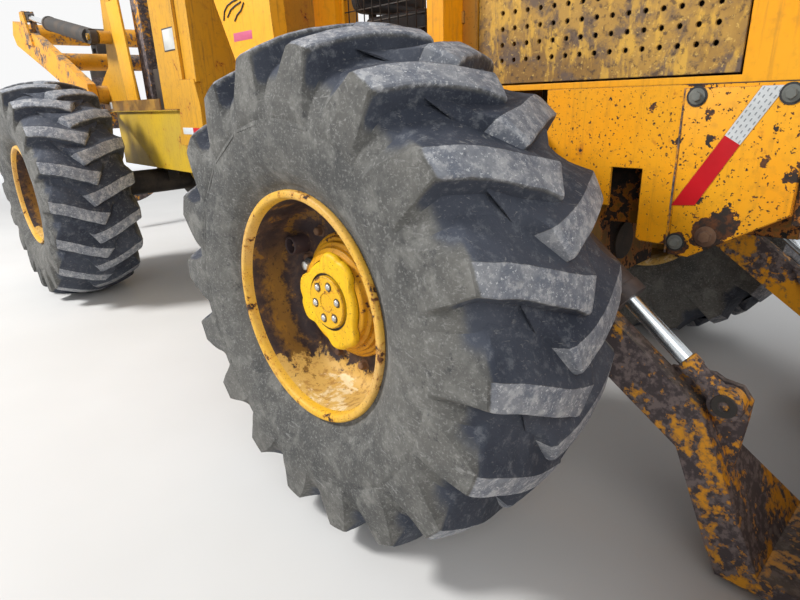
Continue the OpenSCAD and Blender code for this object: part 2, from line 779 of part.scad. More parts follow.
// Reach of the tower's corner foot behind the tower's front face
foot_back = 342;
rail_outline = [
    [frame_nose, frame_low - 60], [frame_nose, deck_low], [-rear_end, deck_low], [-rear_end, rail_low],
    [420, rail_low], [900, frame_low - 60]];
body_outline = [[frame_nose, 930], [frame_nose, deck_low], [-60, deck_low], [-60, 1280], [530, 930]];

module rear_frame() {
    color(yellow) union() {
        at_pivot() {
            yoke(upper_ear_z);
            yoke(lower_ear_z);
            z_bar(0, 0, hinge_pin_r, lower_ear_z - clear - yoke_t, upper_ear_z + hinge_ear_t + clear + yoke_t);
            for (s = [-1, 1], z = steer_ears)
                side_ear([steer_eye[0], s * steer_eye[1]], s * (frame_y - 10), z, steer_ear_t);
        }
        at_rear() {
            both_sides() {
                side_plate(rail_outline, inner_y, frame_y);
                side_plate(body_outline, body_y - 20, body_y);
                // deck plate, with an overhang that ends behind the tower's corner foot
                box(-460, frame_nose, frame_y - 1, body_y, deck_low - 10, deck_low);
                box(-460, tower_front - foot_back - 8, body_y - 1, body_y + 20, deck_low - 10, deck_low);
                box(lip_start, tower_front - 620, body_y + 12, body_y + 20, deck_low - 1, deck_top);
                // saddle plate over the axle, held by two end plates
                box(-saddle, saddle, saddle_y - 20, saddle_y, rail_low + 20, deck_low - 9);
                for (x = [-saddle, saddle - 20])
                    box(x, x + 20, frame_y - 1, saddle_y - 19, rail_low + 20, deck_low - 9);
                box(frame_nose - 20, frame_nose, frame_y - 1, body_y - 1, 930, deck_low);
            }
            box(-rear_end, frame_nose, -inner_y - 1, inner_y + 1, deck_low - 20, deck_low);
            box(-rear_end, -rear_end + 30, -inner_y - 1, inner_y + 1, rail_low, deck_low);
            box(frame_nose - 30, frame_nose, -inner_y - 1, inner_y + 1, frame_low - 60, deck_low);
            pin_lug(-rear_end + 1, -rear_end - 60, hitch_hole_r, rail_low + 40, lug_plate_t);
        }
    }
}

module rear_axle() {
    color(steel_dark) at_rear() {
        both_sides() {
            axle_half();
            box(-110, 110, inner_y - 30, frame_y + 30, axle_z, rail_low);
        }
        banjo();
    }
}

// Tower on the deck: front box, rear posts and boom pivot brackets
boom_y = boom_span / 2;
post_outline = [
    [300, deck_low], [-360, deck_low], [-boom_pivot_back - 90, boom_pivot_z + 80], [-100, boom_pivot_z + 200],
    [0, tower_top], [160, tower_top]];

corner_foot = [
    [tower_front - foot_back, 1111], [tower_front - 235, 1500], [tower_front - 24, 1496], [tower_front + 18, 1345],
    [tower_front + 14, 1180], [tower_front - 79, 1107]];

module tower() {
    color(yellow) at_rear() union() {
        difference() {
            box(tower_front - 600, tower_front, -body_y, body_y, deck_low, tower_top);
            box(tower_front - 601, tower_front - 20, -body_y + 300, body_y - 300, deck_low + 1, tower_top + 1);
        }
        both_sides() {
            // grooved post at the front corner, on a plate foot that laps the body's side
            difference() {
                box(tower_front - 225, tower_front, body_y - 1, body_y + 28, 1480, tower_top);
                box(tower_front - 190, tower_front - 35, body_y + 10, body_y + 29, 1479, tower_top + 1);
            }
            side_plate(corner_foot, body_y, body_y + 34);
            side_plate(post_outline, body_y - 60, body_y);
            y_bar(-boom_pivot_back, boom_pivot_z, 70, body_y - 1, boom_y - boom_t - clear);
            y_bar(-boom_pivot_back, boom_pivot_z, arm_pin_r, body_y, boom_y + 10);
            y_bar(boom_cyl_x, boom_cyl_z, eye_r - 2, body_y - 1, boom_y - boom_t - clear);
            y_bar(boom_cyl_x, boom_cyl_z, eye_pin_r, body_y, boom_y + 10);
        }
    }
}

// Boom: two arms, cross tubes and the tip
boom_cyl_x = 60;
boom_cyl_z = 1840;
boom_eye_x = -1650;
boom_eye_z = 2160;
boom_ear = [
    [boom_eye_x + 170, 1900], [boom_eye_x + 50, boom_eye_z + 40], [boom_eye_x - 50, boom_eye_z + 40],
    [boom_eye_x - 130, 1950]];
boom_outline = [
    [-boom_pivot_back + 80, boom_pivot_z - 40], [-boom_pivot_back + 60, boom_pivot_z + 80],
    [-1300, 1950], [-boom_tip_back, boom_tip_z + 110], [-boom_tip_back - 110, boom_tip_z],
    [-boom_tip_back - 40, boom_tip_z - 100], [-1300, 1700], [-boom_pivot_back, boom_pivot_z - 90]];

cross_tube = [-1000, boom_pivot_z + 290];

module boom() {
    color(yellow) at_rear() union() {
        both_sides()
            difference() {
                union() {
                    side_plate(boom_outline, boom_y - boom_t, boom_y);
                    for (y = [boom_y - boom_t - arm_ear_t + 1, boom_y - 1])
                        side_plate(boom_ear, y, y + arm_ear_t);
                }
                y_bar(-boom_pivot_back, boom_pivot_z, arm_pin_r + fit, boom_y - boom_t - 1, boom_y + 1);
            }
        y_bar(cross_tube[0], cross_tube[1], 70, -boom_y + boom_t - 1, boom_y - boom_t + 1);
        difference() {
            y_bar(-boom_tip_back, boom_tip_z, 90, -boom_y + boom_t - 1, boom_y - boom_t + 1);
            box(-boom_tip_back - 100, -boom_tip_back + 100, -100, 100, boom_tip_z - 100, boom_tip_z + 100);
        }
        y_bar(-boom_tip_back, boom_tip_z, arm_pin_r, -101, 101);
    }
}

boom_cyl_len = norm([boom_eye_x - boom_cyl_x, boom_eye_z - boom_cyl_z]);
boom_cyl_tilt = atan2(boom_cyl_z - boom_eye_z, boom_eye_x - boom_cyl_x);

module at_boom_cylinder()
    at_rear() translate([boom_cyl_x, boom_y - boom_t / 2, boom_cyl_z])
        rotate([0, boom_cyl_tilt, 0]) rotate([90, 0, 0]) children();

module boom_barrels() {
    color(steel_dark) both_sides() at_boom_cylinder() barrel(boom_cyl_r, boom_rod_r, 50, neck_len, 1050);
}

module boom_rods() {
    color("silver") both_sides() at_boom_cylinder() rod(boom_rod_r, 2 * boom_rod_r + 4, 300, boom_cyl_len, 150);
}

// Grapple: link on the boom's tip, swivel with the rotator, head, two tongs and their cylinder
swivel_z = boom_tip_z - 190;
head_z = swivel_z - 210;
tong_pin_y = 240;
tong_pin_z = head_z - 450;
tong_pin_r = 30;
tong_t = 90;
tong_band = 80;
tong_r = tong_len / 2 * 0.94;
tong_drop = sqrt(tong_r * tong_r - tong_pin_y * tong_pin_y);
tong_lug = [370, 150];
lug_outline = [[tong_pin_y, 20], [tong_pin_y + 60, -40], [tong_lug[0] + 35, tong_lug[1] - 20],
    [tong_lug[0] + 20, tong_lug[1] + 30], [tong_lug[0] - 15, tong_lug[1] + 32]];
tong_cyl_r = 45;

module at_tip() translate([rear_x - boom_tip_back, 0, 0]) children();

module boom_link() {
    color(steel_dark) at_tip() difference() {
        union() {
            y_bar(0, boom_tip_z, 80, -90, 90);
            for (x = [-90, 50]) box(x, x + 40, -60, 60, swivel_z - 60, boom_tip_z - 30);
            box(-90, 90, -60, 60, boom_tip_z - 110, boom_tip_z - 60);
        }
        y_bar(0, boom_tip_z, arm_pin_r + fit, -91, 91);
        x_bar(0, swivel_z, tong_pin_r + fit, -91, 91);
    }
}

module grapple_swivel() {
    color(steel_dark) at_tip() union() {
        x_bar(0, swivel_z, tong_pin_r, -100, 100);
        x_bar(0, swivel_z, 56, -44, 44);
        box(-44, 44, -50, 50, head_z + 60, swivel_z);
        z_bar(0, 0, 140, head_z, head_z + 80);
    }
}

module grapple_head() {
    color(steel_dark) at_tip() union() {
        z_bar(0, 0, 140, head_z - 120, head_z - fit);
        box(-head_half, head_half, -130, 130, head_z - 180, head_z - 119);
        for (x = [-head_half, head_half - 30])
            side_turned([[-130, 330], [130, 330], [tong_pin_y + 70, 20], [tong_pin_y + 40, -70],
                [-tong_pin_y - 40, -70], [-tong_pin_y - 70, 20]], x, x + 30);
        for (s = [-1, 1]) x_bar(s * tong_pin_y, tong_pin_z, tong_pin_r, -head_half, head_half);
    }
}

// A plate across X from an outline in Y and Z, with Z counted from the tong pins
module side_turned(outline, x_low, x_high)
    translate([x_low, 0, tong_pin_z]) rotate([90, 0, 90]) linear_extrude(x_high - x_low) polygon(outline);

// One tong, drawn on the left: a curved band, a boss on its pin and a forked lug
module tong()
    at_tip() difference() {
        union() {
            intersection() {
                difference() {
                    x_bar(0, tong_pin_z - tong_drop, tong_r + tong_band / 2, -tong_t / 2, tong_t / 2);
                    x_bar(0, tong_pin_z - tong_drop, tong_r - tong_band / 2, -tong_t, tong_t);
                }
                box(-tong_t, tong_t, 8, 2 * tong_r, tong_pin_z - 2 * tong_len, tong_pin_z);
            }
            x_bar(tong_pin_y, tong_pin_z, 72, 30 - head_half + clear, head_half - 30 - clear);
            difference() {
                side_turned(lug_outline, -tong_t / 2, tong_t / 2);
                x_bar(tong_lug[0], tong_pin_z + tong_lug[1], tong_neck + clear,
                    -tong_eye_w / 2 - clear, tong_eye_w / 2 + clear);
            }
        }
        x_bar(tong_pin_y, tong_pin_z, tong_pin_r + fit, -head_half, head_half);
    }

tong_eye_w = 40;
tong_rod_r = 18;
tong_neck = 96;
module tong_left() color(yellow) union() {
    tong();
    at_tip() x_bar(tong_lug[0], tong_pin_z + tong_lug[1], eye_pin_r, -tong_t / 2, tong_t / 2);
}
module tong_right() color(yellow) mirror([0, 1, 0]) tong();

module at_tong_cylinder()
    at_tip() translate([0, tong_lug[0], tong_pin_z + tong_lug[1]])
        rotate([0, 0, -90]) rotate([90, 0, 0]) children();

module tong_barrel()
    color(steel_dark) at_tong_cylinder() barrel(tong_cyl_r, tong_rod_r, tong_eye_w, tong_neck, 412);
module tong_rod()
    color("silver") at_tong_cylinder() rod(tong_rod_r, tong_eye_w, 380, 2 * tong_lug[0], 60);

front_frame();
frame_brackets();
front_axle();
engine_block();
hood();
side_panels();
grille();
exhaust();
air_cleaner();
cab_frame();
cab_roof();
cab_guards();
seat();
console();
rear_legs();
engine_door_right();
engine_door_left();
blade();
blade_barrels();
blade_rods();
steer_barrel_right();
steer_barrel_left();
steer_rod_right();
steer_rod_left();
rear_frame();
rear_axle();
tower();
boom();
boom_barrels();
boom_rods();
boom_link();
grapple_swivel();
grapple_head();
tong_right();
tong_left();
tong_barrel();
tong_rod();
tyre_front_right();
tyre_front_left();
tyre_rear_right();
tyre_rear_left();
wheel_front_right();
wheel_front_left();
wheel_rear_right();
wheel_rear_left();
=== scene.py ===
import math

import bmesh
import bpy
import numpy as np
from mathutils import Matrix, Vector


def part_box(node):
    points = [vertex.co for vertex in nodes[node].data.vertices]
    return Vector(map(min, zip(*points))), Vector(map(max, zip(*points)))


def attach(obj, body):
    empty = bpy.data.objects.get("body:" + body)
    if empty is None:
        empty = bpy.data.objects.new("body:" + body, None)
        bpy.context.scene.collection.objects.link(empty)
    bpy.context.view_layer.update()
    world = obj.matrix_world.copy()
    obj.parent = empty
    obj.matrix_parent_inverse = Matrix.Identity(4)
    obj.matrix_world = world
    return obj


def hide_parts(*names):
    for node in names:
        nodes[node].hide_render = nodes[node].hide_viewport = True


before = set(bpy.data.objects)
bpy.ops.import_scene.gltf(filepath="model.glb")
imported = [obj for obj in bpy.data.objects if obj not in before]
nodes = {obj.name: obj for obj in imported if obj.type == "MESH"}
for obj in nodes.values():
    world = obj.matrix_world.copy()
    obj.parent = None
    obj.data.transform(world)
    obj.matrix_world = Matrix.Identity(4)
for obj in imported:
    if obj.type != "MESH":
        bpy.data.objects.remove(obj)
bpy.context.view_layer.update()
print("frame loaded")


def middle(node):
    low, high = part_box(node)
    return (low + high) / 2


# places are measured from the two axles: X from the axle, Z from the ground
axleFront = middle("tyre_front_right")
axleRear = middle("tyre_rear_right")
frontX = axleFront.x
rearX = axleRear.x
axleZ = axleFront.z

# the camera stands where the photo was taken, measured from the front axle on the ground
photoCamera = {
    "lens": 25.345,
    "sensor": 36.0,
    "place": (1.33239, -2.19640, 1.35303),
    "right": (0.6873, 0.7256, -0.0329),
    "up": (-0.2241, 0.2550, 0.9406),
    "back": (0.6910, -0.6391, 0.3379),
}


def makeCamera(set):
    data = bpy.data.cameras.new("photoCamera")
    data.lens = set["lens"]
    data.sensor_width = set["sensor"]
    data.clip_start = 0.05
    data.clip_end = 200
    camera = bpy.data.objects.new("photoCamera", data)
    bpy.context.scene.collection.objects.link(camera)
    turn = Matrix((set["right"], set["up"], set["back"])).transposed()
    place = Vector(set["place"]) + Vector((frontX, 0, 0))
    camera.matrix_world = Matrix.Translation(place) @ turn.to_4x4()
    bpy.context.scene.camera = camera


makeCamera(photoCamera)
print("camera set")


# shader maths: a socket that can be added, multiplied and compared like a number
class Sock:
    def __init__(self, finish, socket):
        self.finish = finish
        self.socket = socket

    def calc(self, operation, *others, clamp=False):
        return self.finish.calc(operation, self, *others, clamp=clamp)

    def __add__(self, other):
        return self.calc("ADD", other)

    def __radd__(self, other):
        return self.calc("ADD", other)

    def __sub__(self, other):
        return self.calc("SUBTRACT", other)

    def __rsub__(self, other):
        return self.finish.calc("SUBTRACT", other, self)

    def __mul__(self, other):
        return self.calc("MULTIPLY", other)

    def __truediv__(self, other):
        return self.calc("DIVIDE", other)

    def clamp(self):
        return self.calc("ADD", 0.0, clamp=True)

    # 0 below low, 1 above high, smooth between; the other way round where high is below low
    def step(self, low, high):
        made = self.finish.node("ShaderNodeMapRange", {"interpolation_type": "SMOOTHSTEP", "clamp": True},
                                {"Value": self, "From Min": min(low, high), "From Max": max(low, high)})
        return made("Result") if low <= high else 1.0 - made("Result")


class Finish:
    def __init__(self, name):
        self.material = bpy.data.materials.new(name)
        self.material.use_nodes = True
        self.tree = self.material.node_tree
        self.tree.nodes.clear()
        output = self.tree.nodes.new("ShaderNodeOutputMaterial")
        self.shader = self.tree.nodes.new("ShaderNodeBsdfPrincipled")
        self.tree.links.new(self.shader.outputs[0], output.inputs["Surface"])
        self.place = self.node("ShaderNodeTexCoord")("Object")

    def put(self, target, value):
        if isinstance(value, Sock):
            self.tree.links.new(value.socket, target)
        elif hasattr(target.default_value, "__len__"):
            target.default_value = (*value, 1.0)[:len(target.default_value)]
        else:
            target.default_value = value

    # one node: its settings first, then the values or links of its sockets; gives its outputs by name
    def node(self, kind, settings=None, values=None):
        made = self.tree.nodes.new(kind)
        for key, value in (settings or {}).items():
            setattr(made, key, value)
        for key, value in (values or {}).items():
            self.put(made.inputs[key], value)
        return lambda name=0: Sock(self, made.outputs[name])

    def calc(self, operation, *values, clamp=False):
        return self.node("ShaderNodeMath", {"operation": operation, "use_clamp": clamp},
                         dict(enumerate(values)))()

    def axes(self):
        made = self.node("ShaderNodeSeparateXYZ", None, {0: self.place})
        return made("X"), made("Y"), made("Z")

    def noise(self, scale, detail=4.0, rough=0.55, stretch=(1, 1, 1), shift=0.0, wave=0.0):
        place = self.node("ShaderNodeMapping", None,
                          {"Vector": self.place, "Scale": stretch, "Location": (shift, shift, shift)})()
        return self.node("ShaderNodeTexNoise", None,
                         {"Vector": place, "Scale": scale, "Detail": detail, "Roughness": rough,
                          "Distortion": wave})()

    def attribute(self, name):
        return self.node("ShaderNodeAttribute", {"attribute_name": name})("Fac")

    def mix(self, share, first, second):
        made = self.node("ShaderNodeMix", {"data_type": "RGBA"}, {"Factor": share, 6: first, 7: second})
        return made(2)

    def bevel(self, reach):
        return self.node("ShaderNodeBevel", {"samples": 3}, {"Radius": reach})()

    # 1 where the surface turns sharply, from a bevelled normal; 0 on flat ground
    def edges(self, soft, gain=6.0):
        hard = self.node("ShaderNodeNewGeometry")("Normal")
        along = self.node("ShaderNodeVectorMath", {"operation": "DOT_PRODUCT"}, {0: soft, 1: hard})("Value")
        return ((1.0 - along) * gain).clamp()

    # how far up the surface faces
    def facing(self):
        normal = self.node("ShaderNodeNewGeometry")("Normal")
        return self.node("ShaderNodeSeparateXYZ", None, {0: normal})("Z")

    def bump(self, height, depth, strength=1.0, normal=None):
        values = {"Height": height, "Distance": depth, "Strength": strength}
        if normal:
            values["Normal"] = normal
        return self.node("ShaderNodeBump", None, values)()

    def done(self, color=None, rough=None, metal=None, normal=None, **constants):
        wanted = {"Base Color": color, "Roughness": rough, "Metallic": metal, "Normal": normal}
        for name, value in wanted.items():
            if value is not None:
                self.put(self.shader.inputs[name], value)
        for name, value in constants.items():
            self.shader.inputs[name.replace("_", " ")].default_value = value
        return self.material


# a soft mark round a place in the side view: 1 at its middle, 0 beyond its reach
def markAt(f, x, z, markX, markZ, reach):
    dx = x - markX
    dz = z - markZ
    far = f.calc("SQRT", dx * dx + dz * dz)
    return far.step(reach, reach * 0.25)


# paint that has chipped to dark primer and rust, with dust, scratches and drips
def weatheredPaint(name, set):
    f = Finish(name)
    x, y, z = f.axes()
    broad = f.noise(1.6, 5, 0.6)
    patch = f.noise(set["patchScale"], 8, 0.62)
    speck = f.noise(set["patchScale"] * 5.5, 5, 0.6, shift=3.1)
    fleck = f.noise(set["patchScale"] * 15, 3, 0.6, shift=6.3)
    grain = f.noise(210, 3, 0.6)
    streak = f.noise(10, 6, 0.62, stretch=(7, 7, 0.4), shift=1.7)
    soft = f.bevel(set["edgeReach"])
    edge = f.edges(soft)
    worn = patch * 0.62 + speck * 0.38 + edge * set["edgeWear"] + (broad - 0.5) * set["uneven"]
    # noise bends the place, so that a mark's outline is ragged
    bentX = x + (f.noise(42, 4, 0.6, shift=8.0) - 0.5) * 0.075
    bentZ = z + (f.noise(42, 4, 0.6, shift=9.7) - 0.5) * 0.075
    for markX, markZ, reach, depth in set.get("marks", []):
        worn = worn + markAt(f, bentX, bentZ, frontX + markX, markZ, reach) * depth
    chip = f.calc("MAXIMUM", worn.step(set["bareFrom"], set["bareFrom"] + 0.02),
                  fleck.step(set["fleckFrom"], set["fleckFrom"] + 0.02))
    halo = worn.step(set["bareFrom"] - 0.06, set["bareFrom"] + 0.01)
    paint = f.mix(broad.step(0.35, 0.7), set["paint"], set["paintFaded"])
    if "upper" in set:
        level, other, otherFaded = set["upper"]
        paint = f.mix(z.step(level, level + 0.006), paint, f.mix(patch.step(0.42, 0.62), other, otherFaded))
    paint = f.mix(speck.step(0.48, 0.75) * 0.30, paint, set["grime"])
    paint = f.mix(streak.step(0.50, 0.78) * set["streaks"], paint, set["grime"])
    paint = f.mix(halo * 0.6, paint, set["stain"])
    metal = f.mix(f.noise(38, 5, 0.65, shift=5.0).step(0.44, 0.62), set["primer"], set["rust"])
    color = f.mix(chip, paint, metal)
    dusty = (f.facing().step(0.25, 0.95) * f.noise(14, 5, 0.6).step(0.3, 0.7)) * set["dust"]
    color = f.mix(dusty, color, (0.30, 0.25, 0.18))
    rough = 0.40 + chip * 0.32 + patch * 0.2 + dusty * 0.3
    height = grain * 0.10 + patch * 0.25 - chip * 0.9 + chip * speck * 0.6
    return f.done(color, rough.clamp(), None, f.bump(height, 0.0016, 0.8, soft), Specular_IOR_Level=0.32)


orange = {
    "paint": (0.86, 0.335, 0.002), "paintFaded": (0.78, 0.36, 0.012), "grime": (0.36, 0.17, 0.02),
    "stain": (0.45, 0.13, 0.010), "primer": (0.030, 0.022, 0.018), "rust": (0.12, 0.045, 0.018),
    "patchScale": 6.5, "edgeReach": 0.005, "edgeWear": 0.10, "uneven": 0.10,
    "bareFrom": 0.68, "fleckFrom": 0.76, "streaks": 0.55, "dust": 0.5,
}
# bare marks on the photo's side panel: X from the front axle, Z, reach and depth
panelMarks = [
    (0.775, 0.950, 0.062, 0.62), (0.815, 0.990, 0.052, 0.55), (0.684, 0.905, 0.050, 0.58),
    (0.712, 1.372, 0.034, 0.55), (0.682, 1.368, 0.026, 0.45), (0.732, 1.280, 0.015, 0.60),
    (0.744, 1.210, 0.019, 0.60), (0.655, 1.200, 0.014, 0.60), (0.884, 1.162, 0.013, 0.60),
    (0.897, 1.248, 0.009, 0.60), (0.738, 1.041, 0.012, 0.60), (0.727, 0.996, 0.011, 0.60),
    (0.816, 1.041, 0.012, 0.60), (0.953, 1.130, 0.030, 0.50), (0.801, 1.520, 0.012, 0.60),
    (0.848, 1.463, 0.024, 0.42), (0.571, 1.300, 0.012, 0.50),
]
paintMachine = weatheredPaint("orangePaint", orange)
paintPanel = weatheredPaint("panelPaint", orange | {
    "marks": panelMarks, "edgeWear": 0.32, "fleckFrom": 0.625, "bareFrom": 0.650,
    "streaks": 0.35, "patchScale": 7.0})
# the tower's paint is a darker copy of the orange, with more wear and streaks; its darkening is painted shade
# for faces that stand in shadow
paintTowerShaded = weatheredPaint("towerPaintShaded", orange | {
    "paint": (0.62, 0.30, 0.012), "paintFaded": (0.50, 0.26, 0.025), "grime": (0.20, 0.10, 0.03),
    "edgeWear": 0.2, "bareFrom": 0.63, "fleckFrom": 0.70, "streaks": 0.8})
paintLeg = weatheredPaint("legPaint", orange | {
    "paint": (0.84, 0.37, 0.008), "paintFaded": (0.78, 0.39, 0.03), "edgeWear": 0.2, "fleckFrom": 0.70})
# the column that carries the door's hinges has faded to brown
paintColumn = weatheredPaint("columnPaint", orange | {
    "paint": (0.56, 0.26, 0.035), "paintFaded": (0.40, 0.21, 0.06), "grime": (0.16, 0.09, 0.045),
    "bareFrom": 0.60, "fleckFrom": 0.68, "streaks": 0.95, "edgeWear": 0.2})
# the rear body is lemon below, and its deck has gone brown
paintBody = weatheredPaint("bodyPaint", orange | {
    "paint": (0.60, 0.38, 0.012), "paintFaded": (0.46, 0.31, 0.04), "grime": (0.30, 0.17, 0.03),
    "bareFrom": 0.64, "fleckFrom": 0.70, "edgeWear": 0.2, "streaks": 0.7,
    "upper": (1.322, (0.16, 0.080, 0.022), (0.36, 0.19, 0.035))})
peeling = {
    "paint": (0.78, 0.33, 0.006), "paintFaded": (0.68, 0.32, 0.03), "primer": (0.070, 0.056, 0.058),
    "rust": (0.190, 0.150, 0.142), "stain": (0.20, 0.10, 0.06), "patchScale": 8.5,
    "streaks": 0.2, "dust": 0.35, "edgeWear": 0.05, "uneven": 0.35}
paintArm = weatheredPaint("armPaint", orange | peeling | {"bareFrom": 0.47})
paintPeeled = weatheredPaint("peeledPaint", orange | peeling | {"bareFrom": 0.55, "patchScale": 7.0})
paintRodHead = weatheredPaint("rodHeadPaint", orange | peeling | {
    "bareFrom": 0.46, "patchScale": 16, "dust": 0.1})
# the frame under the panels is painted very dark: greasy grime, and painted shade for the shadow beneath the
# machine
paintFrameGrimeAndShade = weatheredPaint("frameGrimeAndShade", orange | {
    "paint": (0.20, 0.10, 0.010), "paintFaded": (0.10, 0.06, 0.015), "grime": (0.03, 0.022, 0.016),
    "bareFrom": 0.50, "primer": (0.012, 0.010, 0.009), "rust": (0.035, 0.020, 0.014),
    "streaks": 0.9, "dust": 0.25})
print("paint mixed")


# the perforated engine doors have lost their colour to brown stain and rubbed ochre
def doorPaint():
    f = Finish("doorPaint")
    broad = f.noise(2.1, 6, 0.62)
    patch = f.noise(9, 8, 0.68, wave=0.3)
    fine = f.noise(55, 5, 0.62)
    rub = f.noise(26, 6, 0.6, stretch=(1, 1, 0.35), shift=2.0)
    soft = f.bevel(0.004)
    edge = f.edges(soft, 5.0)
    x, y, z = f.axes()
    low = ((z - 1.80) * -1.9).clamp()
    color = f.mix(broad.step(0.40, 0.60), (0.22, 0.115, 0.030), (0.44, 0.245, 0.050))
    color = f.mix(patch.step(0.47, 0.60) * 0.9, color, (0.110, 0.074, 0.056))
    color = f.mix(rub.step(0.50, 0.62) * 0.75, color, (0.66, 0.37, 0.050))
    color = f.mix((low * 0.5 + (patch - 0.5)).step(0.38, 0.60) * 0.7, color, (0.130, 0.090, 0.070))
    color = f.mix(fine.step(0.53, 0.66) * 0.75, color, (0.060, 0.036, 0.026))
    color = f.mix(f.noise(90, 4, 0.6, shift=5.1).step(0.60, 0.68) * 0.6, color, (0.72, 0.46, 0.11))
    color = f.mix(edge * 0.9, color, (0.022, 0.016, 0.014))
    height = patch * 0.5 + fine * 0.4 + rub * 0.2
    return f.done(color, (0.50 + fine * 0.35).clamp(), None, f.bump(height, 0.0014, 0.8, soft),
                  Specular_IOR_Level=0.35)


def darkSteel(name, base, warm, rough=0.45, fleck=(0.15, 0.10, 0.06)):
    f = Finish(name)
    patch = f.noise(7, 7, 0.62)
    fine = f.noise(48, 5, 0.6)
    grain = f.noise(260, 3, 0.6)
    soft = f.bevel(0.004)
    color = f.mix(patch.step(0.4, 0.66), base, warm)
    color = f.mix(fine.step(0.60, 0.76) * 0.6, color, fleck)
    color = f.mix(f.edges(soft, 4.0) * 0.35, color, (0.16, 0.13, 0.11))
    return f.done(color, (rough + patch * 0.25 + fine * 0.1).clamp(), None,
                  f.bump(patch * 0.5 + fine * 0.3 + grain * 0.2, 0.002, 0.6, soft), Specular_IOR_Level=0.4)


# rubber: the lug tops are chalky and scuffed, and painted lighter as if sunlit; the grooves carry painted
# shade, dark and bluish; the sidewalls are dusty
def rubberFinish():
    f = Finish("wornRubber")
    band = f.attribute("band")
    deep = f.attribute("deep")
    broad = f.noise(2.6, 6, 0.62)
    patch = f.noise(13, 7, 0.68, wave=0.4)
    cloud = f.noise(34, 6, 0.72, shift=4.0)
    fleck = f.noise(120, 4, 0.75, shift=2.2)
    grit = f.noise(230, 4, 0.7)
    scratch = f.noise(44, 5, 0.65, stretch=(0.35, 1.0, 1.6), shift=7.0, wave=1.2)
    scuff = scratch.step(0.61, 0.69)
    side = f.mix(broad.step(0.34, 0.66), (0.062, 0.062, 0.060), (0.118, 0.114, 0.104))
    side = f.mix(patch.step(0.44, 0.70) * 0.65, side, (0.215, 0.210, 0.192))
    side = f.mix(cloud.step(0.46, 0.28) * 0.75, side, (0.032, 0.033, 0.036))
    side = f.mix(fleck.step(0.52, 0.66) * 0.5, side, (0.28, 0.275, 0.26))
    # lug tops: chalky dust and scuffs, and painted light of sun and sky that makes them lighter and bluer
    # than the grooves
    top = f.mix(patch.step(0.38, 0.64), (0.145, 0.158, 0.188), (0.250, 0.258, 0.275))
    top = f.mix(cloud.step(0.47, 0.62) * 0.8, top, (0.42, 0.42, 0.425))
    top = f.mix(fleck.step(0.57, 0.66) * 0.85, top, (0.62, 0.62, 0.62))
    top = f.mix(cloud.step(0.40, 0.28) * 0.6, top, (0.070, 0.078, 0.096))
    # painted shade: the groove floor and the lug flanks are dark and bluish, as if in shadow lit only by the
    # sky
    floor = f.mix(broad.step(0.35, 0.65), (0.026, 0.031, 0.045), (0.060, 0.067, 0.086))
    floor = f.mix(cloud.step(0.50, 0.68) * 0.55, floor, (0.160, 0.168, 0.182))
    floor = f.mix(fleck.step(0.60, 0.70) * 0.35, floor, (0.26, 0.265, 0.275))
    color = f.mix((deep + (cloud - 0.5) * 0.5).step(0.12, 0.62), side, floor)
    color = f.mix((band + (cloud - 0.5) * 0.8).step(0.30, 0.70), color, top)
    color = f.mix(scuff * 0.35, color, (0.34, 0.335, 0.32))
    height = broad * 0.2 + patch * 0.34 + cloud * 0.36 + grit * 0.14 + fleck * 0.18 - scuff * 0.14
    return f.done(color, (0.66 + cloud * 0.25).clamp(), None, f.bump(height, 0.0045, 0.85),
                  Specular_IOR_Level=0.25)


# bright at the gland and dark on the head: the rods' heads, at their low X, are painted iron
def rodFinish(name, node, headShare):
    f = Finish(name)
    x, y, z = f.axes()
    low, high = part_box(node)
    along = (x - low.x) / (high.x - low.x)
    head = along.step(headShare, headShare - 0.004)
    wear = f.noise(35, 4, 0.6)
    patch = f.noise(16, 7, 0.62)
    paint = patch.step(0.56, 0.60) * head
    color = f.mix(head, (0.74, 0.76, 0.78), (0.028, 0.024, 0.023))
    color = f.mix(paint, color, (0.72, 0.30, 0.01))
    rough = 0.12 + wear * 0.14 + head * 0.36
    return f.done(color, rough.clamp(), (1.0 - head) * 0.95, f.bump(patch * head, 0.001, 0.5))


def plainFinish(name, color, rough, metal=0.0, grainSize=120, depth=0.0006, spread=0.75):
    f = Finish(name)
    patch = f.noise(grainSize * 0.12, 5, 0.6)
    grain = f.noise(grainSize, 4, 0.6)
    tone = f.mix(patch.step(0.35, 0.7), tuple(c * spread for c in color), color)
    return f.done(tone, (rough + grain * 0.15).clamp(), metal, f.bump(grain, depth, 0.7))


